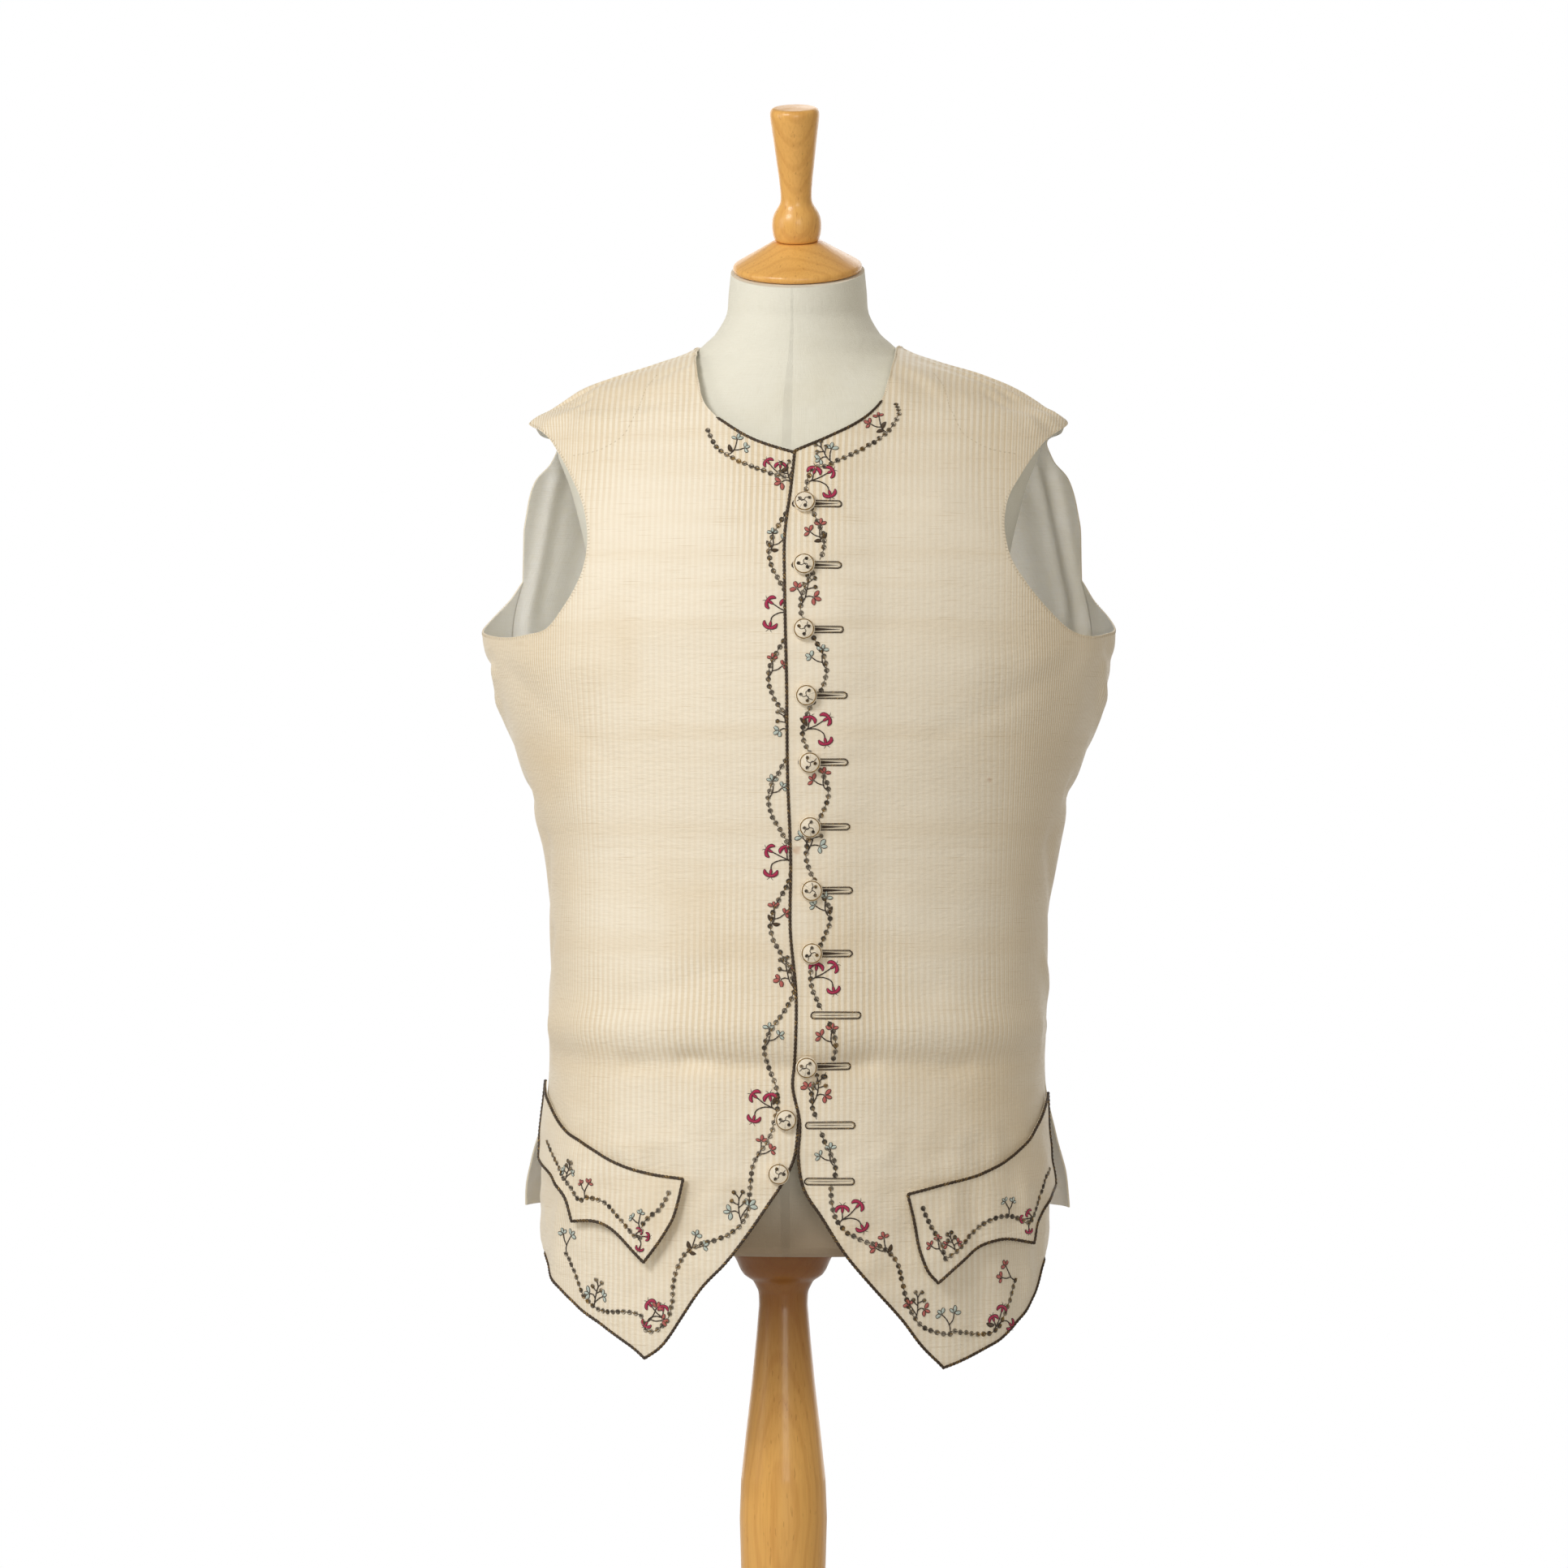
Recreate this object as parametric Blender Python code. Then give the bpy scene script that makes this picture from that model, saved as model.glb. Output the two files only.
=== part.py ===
"""An eighteenth-century embroidered waistcoat, worn on a limbless dress form with a turned stand.

Metres, +Z up, the front faces -Y and +X is the wearer's left. The floor is z = 0.
Each cloth panel is cut as a flat outline, filled with triangles and wrapped round the worn figure,
then given its wall. Panel outlines are measured outward from the centre front, on the wearer's
right as on the left.
"""

import math

import bpy
import numpy as np
from mathutils import Vector
from mathutils.geometry import delaunay_2d_cdt

# Cloth
CLOTH_WALL = 0.0015  # silk, interlining and lining together
SEAM_HALF_GAP = 0.0002  # flat distance from a seam line to each panel beside it
SHOULDER_HALF_GAP = 0.0004  # the same on the shoulder, where the wrapping narrows
GRID = 0.0225  # flat distance between the points that fill a panel
EDGE_STEP = 0.014  # flat distance between the points along its outline
FLAT_RADIUS = 0.17  # turns an angle round the figure into a flat distance
LAP_LIFT = 0.0032  # how far the wearer's left front stands off the right front that it covers
LAP_FADE = (0.032, 0.075)  # distances from the centre front over which that lift fades
FLAP_CLEARANCE = 0.0016  # between a front and the inner face of its pocket flap, at the sewn top
FLAP_DROOP = 0.0052  # how much further the flap's lower edge stands off
FLAP_TOP, FLAP_BOTTOM = 0.835, 0.700
BACK_SKIRT_FLARE = 0.017  # how far the back skirts spread beyond the fronts at the side vents
VENT_TOP = 0.845
BACK_HEM = 0.738

# The worn figure of the cloth, a row for each level ring from the hem to the neck: its height, its
# reach to the wearer's right and left, its reach to the front and back, and how lens-like its front
# and back halves are (1 is an ellipse, more draws the sides in to a fold, less squares them).
RING_COLUMNS = ("z", "right", "left", "front", "back", "front_lens", "back_lens")
RINGS = (
    (0.6200, 0.1960, 0.1920, 0.134, 0.122, 0.92, 0.85),
    (0.7110, 0.1965, 0.1935, 0.133, 0.122, 0.92, 0.85),
    (0.7450, 0.1965, 0.1920, 0.132, 0.120, 0.92, 0.85),
    (0.8000, 0.1930, 0.1900, 0.131, 0.116, 0.92, 0.85),
    (0.8550, 0.1895, 0.1885, 0.129, 0.110, 0.94, 0.88),
    (0.8800, 0.1905, 0.1895, 0.131, 0.105, 0.95, 0.90),
    (0.9200, 0.1900, 0.1900, 0.130, 0.099, 0.98, 0.92),
    (0.9660, 0.1910, 0.1915, 0.128, 0.096, 1.02, 0.95),
    (1.0130, 0.1945, 0.1990, 0.129, 0.099, 1.08, 0.98),
    (1.0530, 0.2055, 0.2085, 0.131, 0.104, 1.14, 1.00),
    (1.0980, 0.2185, 0.2225, 0.133, 0.110, 1.20, 1.00),
    (1.1370, 0.2310, 0.2345, 0.133, 0.114, 1.24, 1.00),
    (1.1830, 0.2415, 0.2415, 0.131, 0.117, 1.25, 1.00),
    (1.2500, 0.2320, 0.2320, 0.119, 0.118, 1.22, 0.98),
    (1.3000, 0.2215, 0.2215, 0.102, 0.113, 1.32, 0.96),
    (1.3250, 0.2140, 0.2140, 0.091, 0.109, 1.50, 0.95),
    (1.3425, 0.2046, 0.2046, 0.083, 0.105, 1.70, 0.95),
    (1.3500, 0.1900, 0.1900, 0.080, 0.103, 1.78, 0.95),
    (1.3655, 0.1675, 0.1675, 0.073, 0.098, 1.80, 0.95),
    (1.3756, 0.1425, 0.1425, 0.069, 0.093, 1.78, 0.95),
    (1.3870, 0.1070, 0.1070, 0.064, 0.085, 1.65, 0.95),
    (1.4000, 0.0766, 0.0766, 0.060, 0.074, 1.60, 0.95),
    (1.4060, 0.0700, 0.0700, 0.058, 0.070, 1.60, 0.95),
)

# Outlines of the fronts. "x" is the distance out from the centre front, "degrees" the angle round
# the figure from the centre front, 90 being the side and 180 the centre back.
OVERLAP_EDGE = (  # x, z: the wearer's left front, from the neck down its edge, cut away to the tip
    (0.0030, 1.3113), (0.0010, 1.2860), (-0.0030, 1.2490), (-0.0026, 1.2060), (-0.0010, 1.1450),
    (-0.0002, 1.0700), (0.0018, 1.0050), (0.0014, 0.9600), (0.0060, 0.9050), (0.0046, 0.8600),
    (0.0032, 0.8450), (0.0086, 0.8150), (0.0076, 0.7900), (0.0117, 0.7670), (0.0243, 0.7468),
    (0.0416, 0.7193), (0.0643, 0.6919), (0.0828, 0.6710), (0.0977, 0.6507), (0.1138, 0.6334),
)  # fmt: skip
UNDERLAP_EDGE = (  # x, z: the wearer's right front, whose upper edge runs on under the left one
    (-0.0220, 1.3060), (-0.0220, 1.2000), (-0.0220, 1.0500), (-0.0220, 0.9000), (-0.0165, 0.8500),
    (-0.0093, 0.8180), (-0.0046, 0.7870), (0.0032, 0.7710), (0.0139, 0.7550), (0.0283, 0.7340),
    (0.0450, 0.7120), (0.0630, 0.6930), (0.0796, 0.6690), (0.0963, 0.6465), (0.1070, 0.6390),
)  # fmt: skip
LEFT_HEM = (  # x, z: from the tip out to the side vent
    (0.1138, 0.6334), (0.1238, 0.6367), (0.1390, 0.6433), (0.1551, 0.6513), (0.1677, 0.6632),
    (0.1767, 0.6740), (0.1832, 0.6890), (0.1885, 0.7080),
)  # fmt: skip
RIGHT_HEM = (
    (0.1070, 0.6390), (0.1140, 0.6447), (0.1260, 0.6525), (0.1495, 0.6659), (0.1704, 0.6820),
    (0.1816, 0.6940), (0.1905, 0.7100),
)  # fmt: skip
FRONT_VENT = ((84.0, 0.7220), (87.5, 0.7450), (90.0, 0.8000))  # degrees, z: up the skirt's back edge
SIDE_SEAM = ((91.0, VENT_TOP), (93.0, 0.9200), (99.0, 1.0200), (107.0, 1.1200), (114.0, 1.2220))
UNDERARM = ((110.0, 1.2080), (101.0, 1.1930), (90.0, 1.1835), (80.0, 1.1795))  # degrees, z
LEFT_ARMHOLE = (  # x, z: up the front of the armhole
    (0.2057, 1.1820), (0.1900, 1.1970), (0.1750, 1.2150), (0.1636, 1.2324), (0.1587, 1.2550),
    (0.1620, 1.2795), (0.1711, 1.2974), (0.1842, 1.3180),
)  # fmt: skip
RIGHT_ARMHOLE = (
    (0.2000, 1.1775), (0.1856, 1.1810), (0.1706, 1.1980), (0.1565, 1.2240), (0.1524, 1.2470),
    (0.1557, 1.2717), (0.1694, 1.3005), (0.1844, 1.3237),
)  # fmt: skip
SHOULDER_TIP = (90.0, 1.3425)  # degrees, z
SHOULDER_SEAM = ((97.0, 1.3425), (98.5, 1.3700), (100.0, 1.4000))  # degrees, z: just behind the ridge
NECKLINE = (  # x, z: from the shoulder down to the centre front
    (0.0758, 1.3965), (0.0756, 1.3910), (0.0742, 1.3820), (0.0718, 1.3700), (0.0665, 1.3520),
    (0.0560, 1.3395), (0.0290, 1.3228),
)  # fmt: skip
BACK_ARMHOLE = ((106.0, 1.3350), (117.0, 1.3260), (116.0, 1.3140), (111.0, 1.3000), (110.0, 1.2700))
BACK_VENT = ((93.0, 0.8000), (97.0, BACK_HEM + 0.002))
BACK_NECKLINE = ((180.0, 1.3940), (150.0, 1.3960), (125.0, 1.3985))

# Pocket flaps, x and z, in four edges: the sewn top, the front edge, the scallops and the back edge.
LEFT_FLAP = (
    ((0.1884, 0.8310), (0.1857, 0.8210), (0.1795, 0.8075), (0.1689, 0.7940), (0.1539, 0.7833),
     (0.1387, 0.7764), (0.1120, 0.7700), (0.0858, 0.7635)),
    ((0.0858, 0.7635), (0.0911, 0.7390), (0.0947, 0.7193), (0.1007, 0.7044), (0.1073, 0.6967)),
    ((0.1073, 0.6967), (0.1267, 0.7133), (0.1388, 0.7223), (0.1510, 0.7260), (0.1732, 0.7214)),
    ((0.1732, 0.7214), (0.1750, 0.7311), (0.1810, 0.7420), (0.1865, 0.7523), (0.1910, 0.7606)),
)  # fmt: skip
RIGHT_FLAP = (
    ((0.1900, 0.8380), (0.1840, 0.8233), (0.1690, 0.8056), (0.1486, 0.7947), (0.1266, 0.7838),
     (0.1037, 0.7776), (0.0749, 0.7743)),
    ((0.0749, 0.7743), (0.0784, 0.7587), (0.0826, 0.7438), (0.0892, 0.7320), (0.1041, 0.7104)),
    ((0.1041, 0.7104), (0.1148, 0.7210), (0.1267, 0.7318), (0.1420, 0.7385), (0.1603, 0.7375)),
    ((0.1603, 0.7375), (0.1640, 0.7500), (0.1690, 0.7600), (0.1770, 0.7680), (0.1915, 0.7800)),
)  # fmt: skip

# Largest folds: a soft ridge or trough along a line, each row from one end to the other, with its
# half width and its height off the figure.
FOLD_COLUMNS = ("from_degrees", "from_z", "to_degrees", "to_z", "half_width", "height")
FRONT_FOLDS = (
    (-8, 0.884, 74, 0.882, 0.016, 0.0036),
    (-8, 0.852, 70, 0.856, 0.013, -0.0016),
    (82, 1.060, 112, 1.040, 0.012, -0.0050),
    (36, 1.150, 84, 1.168, 0.014, 0.0022),
)
BACK_FOLDS = (
    (118, 1.300, 116, 1.080, 0.012, -0.0040),
    (133, 1.280, 128, 0.980, 0.014, 0.0045),
    (150, 1.300, 146, 1.050, 0.013, -0.0030),
    (166, 1.240, 164, 0.960, 0.015, 0.0030),
    (100, 0.880, 170, 0.872, 0.014, 0.0035),
    (118, 0.840, 116, 0.745, 0.013, 0.0050),
    (144, 0.840, 146, 0.745, 0.014, 0.0040),
)

# Covered buttons: number, world x, height, and whether it shows through the left front's hole.
BUTTONS = (
    (1, 0.0118, 1.2716, True), (2, 0.0120, 1.2256, True), (3, 0.0123, 1.1784, True),
    (4, 0.0141, 1.1300, True), (5, 0.0165, 1.0810, True), (6, 0.0165, 1.0336, True),
    (7, 0.0177, 0.9868, True), (8, 0.0177, 0.9402, True), (10, 0.0141, 0.8572, True),
    (11, -0.0008, 0.8178, False), (12, -0.0062, 0.7784, False),
)  # fmt: skip
BUTTON_PROFILE = (  # radius, height off the cloth
    (0.0, 0.0), (0.0074, 0.0), (0.0082, 0.0013), (0.0080, 0.0028), (0.0066, 0.0043),
    (0.0040, 0.0051), (0.0, 0.0054),
)  # fmt: skip
BUTTON_CLEARANCE = 0.0006
BUTTON_SEGMENTS = 12

# Dress form, a row for each ring from its base to the top of its neck.
FORM_COLUMNS = ("z", "side", "front", "back", "front_lens", "back_lens")
FORM_BASE = 0.7130
FORM_RINGS = (
    (FORM_BASE, 0.1600, 0.090, 0.090, 0.95, 0.90),
    (0.7160, 0.1650, 0.095, 0.095, 0.95, 0.90),
    (0.7400, 0.1740, 0.100, 0.101, 0.95, 0.90),
    (0.7900, 0.1810, 0.105, 0.104, 0.95, 0.92),
    (0.8400, 0.1815, 0.109, 0.100, 0.96, 0.95),
    (0.9000, 0.1710, 0.111, 0.089, 1.00, 1.00),
    (0.9600, 0.1620, 0.113, 0.084, 1.00, 1.00),
    (1.0500, 0.1580, 0.117, 0.094, 1.00, 1.00),
    (1.1500, 0.1560, 0.122, 0.106, 1.00, 1.00),
    (1.2300, 0.1600, 0.114, 0.109, 1.10, 0.98),
    (1.2900, 0.1740, 0.096, 0.105, 1.25, 0.96),
    (1.3250, 0.1850, 0.080, 0.100, 1.60, 0.96),
    (1.3400, 0.1830, 0.074, 0.096, 1.85, 0.96),
    (1.3520, 0.1720, 0.070, 0.092, 1.95, 0.96),
    (1.3660, 0.1500, 0.065, 0.086, 2.00, 0.96),
    (1.3790, 0.1130, 0.061, 0.078, 1.80, 0.96),
    (1.3900, 0.0850, 0.058, 0.070, 1.50, 0.97),
    (1.3970, 0.0755, 0.0570, 0.065, 1.25, 0.98),
    (1.4020, 0.0700, 0.0565, 0.061, 1.12, 1.00),
    (1.4070, 0.0640, 0.0560, 0.058, 1.05, 1.00),
    (1.4130, 0.0598, 0.0555, 0.056, 1.00, 1.00),
    (1.4230, 0.0545, 0.0550, 0.054, 1.00, 1.00),
    (1.4400, 0.0527, 0.0560, 0.053, 1.00, 1.00),
    (1.4560, 0.0510, 0.0560, 0.052, 1.00, 1.00),
)
FORM_SEGMENTS = 36
NECK_LEAN = math.radians(18.5)  # the neck's top slants down to the front
NECK_LEAN_FROM = 1.400

# Turned beech: radius and distance along the axis
TURNED_SEGMENTS = 24
BASE_SEGMENTS = 44
TOUCH_GAP = 0.0003
NECK_TOP = (0.0, -0.0020, 1.4560)
CAP_PROFILE = (
    (0.0, 0.0), (0.0465, 0.0), (0.0487, 0.0010), (0.0495, 0.0030), (0.0490, 0.0052), (0.0465, 0.0068),
    (0.0178, 0.0236), (0.0, 0.0236),
)  # fmt: skip
KNOB_PROFILE = (  # a barrel bulb on the cap, a waist, and a long flared grip
    (0.0165, 0.0239), (0.0178, 0.0272), (0.0186, 0.0320), (0.0188, 0.0365), (0.0183, 0.0412),
    (0.0167, 0.0456), (0.0142, 0.0494), (0.0123, 0.0525), (0.0117, 0.0560), (0.0119, 0.0620),
    (0.0128, 0.0720), (0.0143, 0.0840), (0.0166, 0.1030), (0.0184, 0.1170), (0.0187, 0.1205),
    (0.0183, 0.1236), (0.0166, 0.1254), (0.0, 0.1259),
)  # fmt: skip
POLE_X = -0.0110  # the form sits a little off its pole
POLE_PROFILE = (
    (0.0, 0.0603), (0.0330, 0.0603), (0.0345, 0.0640), (0.0330, 0.0690), (0.0290, 0.0720),
    (0.0250, 0.0800), (0.0205, 0.1100), (0.0170, 0.1500), (0.0160, 0.1800), (0.0170, 0.1950),
    (0.0225, 0.1990), (0.0245, 0.2050), (0.0225, 0.2110), (0.0170, 0.2150), (0.0165, 0.2300),
    (0.0200, 0.2800), (0.0250, 0.3500), (0.0295, 0.4150), (0.0322, 0.4650), (0.0333, 0.5050),
    (0.0322, 0.5350), (0.0285, 0.5700), (0.0242, 0.6070), (0.0205, 0.6450), (0.0186, 0.6680),
    (0.0190, 0.6780), (0.0230, 0.6860), (0.0300, 0.6905), (0.0330, 0.6950), (0.0355, 0.7010),
    (0.0385, 0.7065), (0.0395, 0.7100), (0.0390, 0.7124), (0.0, 0.7127),
)  # fmt: skip
BASE_PROFILE = (
    (0.0, 0.0), (0.1870, 0.0), (0.1900, 0.0030), (0.1900, 0.0130), (0.1860, 0.0185), (0.1760, 0.0215),
    (0.0700, 0.0290), (0.0520, 0.0340), (0.0460, 0.0440), (0.0440, 0.0560), (0.0410, 0.0600),
    (0.0, 0.0600),
)  # fmt: skip

WEARERS_LEFT, WEARERS_RIGHT = 1, -1

MATERIALS = {  # colour, roughness
    "silk": ((0.84, 0.74, 0.58), 0.62),
    "linen": ((0.80, 0.77, 0.68), 0.85),
    "calico": ((0.85, 0.84, 0.78), 0.88),
    "covered_button": ((0.66, 0.55, 0.36), 0.60),
    "beech": ((0.62, 0.36, 0.13), 0.38),
}


def material(slot):
    if slot in bpy.data.materials:
        return bpy.data.materials[slot]
    made = bpy.data.materials.new(slot)
    made.use_nodes = True
    colour, roughness = MATERIALS[slot]
    shader = made.node_tree.nodes["Principled BSDF"]
    shader.inputs["Base Color"].default_value = (*colour, 1.0)
    shader.inputs["Roughness"].default_value = roughness
    shader.inputs["Metallic"].default_value = 0.0
    made.diffuse_color = (*colour, 1.0)
    return made


def add_object(name, points, faces, slot):
    mesh = bpy.data.meshes.new(name)
    mesh.from_pydata([tuple(point) for point in points], [], faces)
    mesh.validate()
    mesh.shade_smooth()
    mesh.set_sharp_from_angle(angle=math.radians(40))
    mesh.materials.append(material(slot))
    made = bpy.data.objects.new(name, mesh)
    bpy.context.scene.collection.objects.link(made)
    return made


def curve_through(keys, values):
    """A smooth curve through the values of a table column, as a function of the key column."""
    slopes = np.gradient(values, keys)

    def at(key):
        key = np.clip(key, keys[0], keys[-1])
        row = np.clip(np.searchsorted(keys, key) - 1, 0, len(keys) - 2)
        span = keys[row + 1] - keys[row]
        t = (key - keys[row]) / span
        start = (2 * t**3 - 3 * t**2 + 1) * values[row] + (t**3 - 2 * t**2 + t) * span * slopes[row]
        end = (3 * t**2 - 2 * t**3) * values[row + 1] + (t**3 - t**2) * span * slopes[row + 1]
        return start + end

    return at


class Figure:
    """The worn shape, read by angle round it and by rise, the distance climbed up its side."""

    def __init__(self):
        rows = np.array(RINGS)
        named = {name: rows[:, i] for i, name in enumerate(RING_COLUMNS)}
        reach = (named["left"] + named["right"]) / 2
        climb = np.hypot(np.diff(named["z"]), np.diff(reach))
        rise = np.concatenate([[0.0], np.cumsum(climb)])
        self.read = {name: curve_through(rise, column) for name, column in named.items()}
        self.fine_rise = np.linspace(0.0, rise[-1], 4000)
        self.fine_z = self.read["z"](self.fine_rise)

    def rise_at(self, z):
        return np.interp(z, self.fine_z, self.fine_rise)

    def reach(self, side, rise):
        return self.read["left" if side > 0 else "right"](rise)

    def on_ring(self, side, angle, rise):
        across, along = np.sin(angle), np.cos(angle)
        front = self.read["front"](rise) * np.abs(along) ** self.read["front_lens"](rise)
        back = self.read["back"](rise) * np.abs(along) ** self.read["back_lens"](rise)
        y = np.where(along > 0, -front, back)
        return np.stack([side * self.reach(side, rise) * across, y, self.read["z"](rise)], axis=-1)

    def outward(self, side, angle, rise):
        turn, climb = 0.03, 0.006
        around = self.on_ring(side, angle + turn, rise) - self.on_ring(side, angle - turn, rise)
        up = self.on_ring(side, angle, rise + climb) - self.on_ring(side, angle, rise - climb)
        normal = side * np.cross(around, up)
        return normal / np.linalg.norm(normal, axis=-1, keepdims=True)


FIGURE = Figure()


def by_degrees(rows):
    """Flat points (distance round, rise) from rows of angle and height."""
    return [(math.radians(degrees) * FLAT_RADIUS, float(FIGURE.rise_at(z))) for degrees, z in rows]


def by_x(side, rows):
    """Flat points from rows of distance out from the centre front and height."""
    flat = []
    for x, z in rows:
        rise = float(FIGURE.rise_at(z))
        sine = x / float(FIGURE.reach(side, rise))
        flat.append((math.asin(max(-1.0, min(1.0, sine))) * FLAT_RADIUS, rise))
    return flat


def shifted(points, distance):
    return [(around + distance, rise) for around, rise in points]


def smooth_edge(points, step=EDGE_STEP):
    """Points a step apart along a smooth curve through these, from the first up to the last."""
    points = np.array(points)
    lengths = np.concatenate([[0.0], np.cumsum(np.linalg.norm(np.diff(points, axis=0), axis=1))])
    count = max(1, round(lengths[-1] / step))
    along = np.linspace(0.0, lengths[-1], count + 1)[:-1]
    curves = [curve_through(lengths, points[:, axis]) for axis in (0, 1)]
    return [(float(curves[0](t)), float(curves[1](t))) for t in along]


def outline(*edges):
    """A closed outline of smooth edges, each starting where the one before it ends."""
    return [point for edge in edges for point in smooth_edge(edge)]


def inside(points, loop):
    x, y = points[:, 0][:, None], points[:, 1][:, None]
    start, end = loop, np.roll(loop, -1, axis=0)
    crosses = (start[:, 1] > y) != (end[:, 1] > y)
    rise = np.where(end[:, 1] == start[:, 1], 1.0, end[:, 1] - start[:, 1])
    where = start[:, 0] + (y - start[:, 1]) * (end[:, 0] - start[:, 0]) / rise
    return (crosses & (x < where)).sum(axis=1) % 2 == 1


def distance_to(points, starts, ends):
    along = ends - starts
    t = ((points[:, None] - starts) * along).sum(axis=2) / (along**2).sum(axis=1)
    nearest = starts + np.clip(t, 0, 1)[..., None] * along
    return np.linalg.norm(points[:, None] - nearest, axis=2)


def filled(loop, grid=GRID):
    """The loop's points followed by staggered points inside it, and the triangles between them."""
    loop = np.array(loop)
    low, high = loop.min(axis=0), loop.max(axis=0)
    row_step = grid * math.sqrt(3) / 2
    rows = []
    for i, y in enumerate(np.arange(low[1], high[1], row_step)):
        x = np.arange(low[0] + (i % 2) * grid / 2, high[0], grid)
        rows.append(np.stack([x, np.full_like(x, y)], axis=1))
    points = np.concatenate(rows)
    points = points[inside(points, loop)]
    points = points[distance_to(points, loop, np.roll(loop, -1, axis=0)).min(axis=1) > 0.6 * grid]
    flat = np.concatenate([loop, points])
    vectors = [Vector(point) for point in flat]
    triangles = delaunay_2d_cdt(vectors, [], [list(range(len(loop)))], 1, 1e-7)[2]
    return flat, [list(triangle) for triangle in triangles]


def fold_height(folds, angle, z):
    """Height off the figure of the soft ridges and troughs at each point."""
    total = np.zeros_like(angle)
    points = np.stack([angle * FLAT_RADIUS, z], axis=1)
    for from_degrees, from_z, to_degrees, to_z, half_width, height in folds:
        start = np.array([math.radians(from_degrees) * FLAT_RADIUS, from_z])
        end = np.array([math.radians(to_degrees) * FLAT_RADIUS, to_z])
        away = distance_to(points, start[None], end[None])[:, 0]
        total += height * np.exp(-((away / half_width) ** 2))
    return total


def fade(value, start, end):
    t = np.clip((value - start) / (end - start), 0.0, 1.0)
    return t * t * (3 - 2 * t)


def front_height(side, angle, rise):
    z = FIGURE.read["z"](rise)
    height = fold_height(FRONT_FOLDS, angle, z)
    if side == WEARERS_LEFT:
        out = FIGURE.reach(side, rise) * np.sin(angle)
        height = height + LAP_LIFT * (1 - fade(out, *LAP_FADE)) * (angle < math.radians(90))
    return height


def back_height(side, angle, rise):
    z = FIGURE.read["z"](rise)
    spread = fade(VENT_TOP - z, 0.0, VENT_TOP - BACK_HEM) * (1 - fade(angle, 1.7, 2.4))
    return fold_height(BACK_FOLDS, angle, z) + BACK_SKIRT_FLARE * spread


def flap_height(side, angle, rise):
    z = FIGURE.read["z"](rise)
    droop = FLAP_DROOP * fade(FLAP_TOP - z, 0.0, FLAP_TOP - FLAP_BOTTOM)
    return front_height(side, angle, rise) + CLOTH_WALL + FLAP_CLEARANCE + droop


def add_panel(name, side, loop, height, slot):
    """A closed wall of cloth: the filled outline wrapped round the figure, and its inner face."""
    flat, triangles = filled(loop)
    angle, rise = flat[:, 0] / FLAT_RADIUS, flat[:, 1]
    out = FIGURE.outward(side, angle, rise)
    outer = FIGURE.on_ring(side, angle, rise) + out * height(side, angle, rise)[:, None]
    inner = outer - out * CLOTH_WALL
    count, rim = len(flat), len(loop)
    faces = triangles + [[count + i for i in reversed(triangle)] for triangle in triangles]
    for i in range(rim):
        j = (i + 1) % rim
        faces.append([j, i, count + i, count + j])
    if side == WEARERS_RIGHT:
        faces = [face[::-1] for face in faces]
    return add_object(name, np.concatenate([outer, inner]), faces, slot)


def front_loop(side):
    """Down the front edge, along the hem, up the vent and side seam, round the armhole, to the neck."""
    left = side == WEARERS_LEFT
    edge = by_x(side, OVERLAP_EDGE if left else UNDERLAP_EDGE)
    hem = by_x(side, LEFT_HEM if left else RIGHT_HEM)
    armhole = by_x(side, LEFT_ARMHOLE if left else RIGHT_ARMHOLE)
    seam = shifted(by_degrees(SIDE_SEAM), -SEAM_HALF_GAP)
    shoulder = shifted(by_degrees(SHOULDER_SEAM), -SHOULDER_HALF_GAP)
    tip = by_degrees([SHOULDER_TIP])
    return outline(
        edge,
        hem,
        hem[-1:] + by_degrees(FRONT_VENT) + seam[:1],
        seam,
        seam[-1:] + by_degrees(UNDERARM) + armhole + tip,
        tip + shoulder[:1],
        shoulder,
        shoulder[-1:] + by_x(side, NECKLINE) + edge[:1],
    )


def back_loop():
    """Down the side seam and vent, along the hem, up the centre back, round the neck and armhole."""
    seam = shifted(by_degrees(SIDE_SEAM), SEAM_HALF_GAP)[::-1]
    vent = by_degrees(BACK_VENT)
    shoulder = shifted(by_degrees(SHOULDER_SEAM), SHOULDER_HALF_GAP)[::-1]
    centre = shifted(by_degrees(((180.0, BACK_HEM), BACK_NECKLINE[0])), -SEAM_HALF_GAP)
    return outline(
        seam,
        seam[-1:] + vent,
        [vent[-1], centre[0]],
        centre,
        centre[-1:] + by_degrees(BACK_NECKLINE[1:]) + shoulder[:1],
        shoulder,
        shoulder[-1:] + by_degrees(BACK_ARMHOLE) + seam[:1],
    )


def flap_loop(side, edges):
    top, front, scallops, rear = (by_x(side, edge) for edge in edges)
    return outline(top, front, scallops, rear, [rear[-1], top[0]])


def turned(name, profile, segments, slot):
    """A solid turned about its own Z axis, from a profile of radius and height, base to top."""
    points, rings = [], []
    for radius, z in profile:
        if radius == 0.0:
            rings.append([len(points)])
            points.append((0.0, 0.0, z))
            continue
        rings.append(list(range(len(points), len(points) + segments)))
        for i in range(segments):
            turn = 2 * math.pi * i / segments
            points.append((radius * math.cos(turn), radius * math.sin(turn), z))
    return add_object(name, points, ring_faces(rings), slot)


def ring_faces(rings):
    faces = []
    for low, high in zip(rings, rings[1:]):
        count = max(len(low), len(high))
        for i in range(count):
            j = (i + 1) % count
            if len(low) == 1:
                faces.append([low[0], high[j], high[i]])
            elif len(high) == 1:
                faces.append([low[i], low[j], high[0]])
            else:
                faces.append([low[i], low[j], high[j], high[i]])
    return faces


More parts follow.
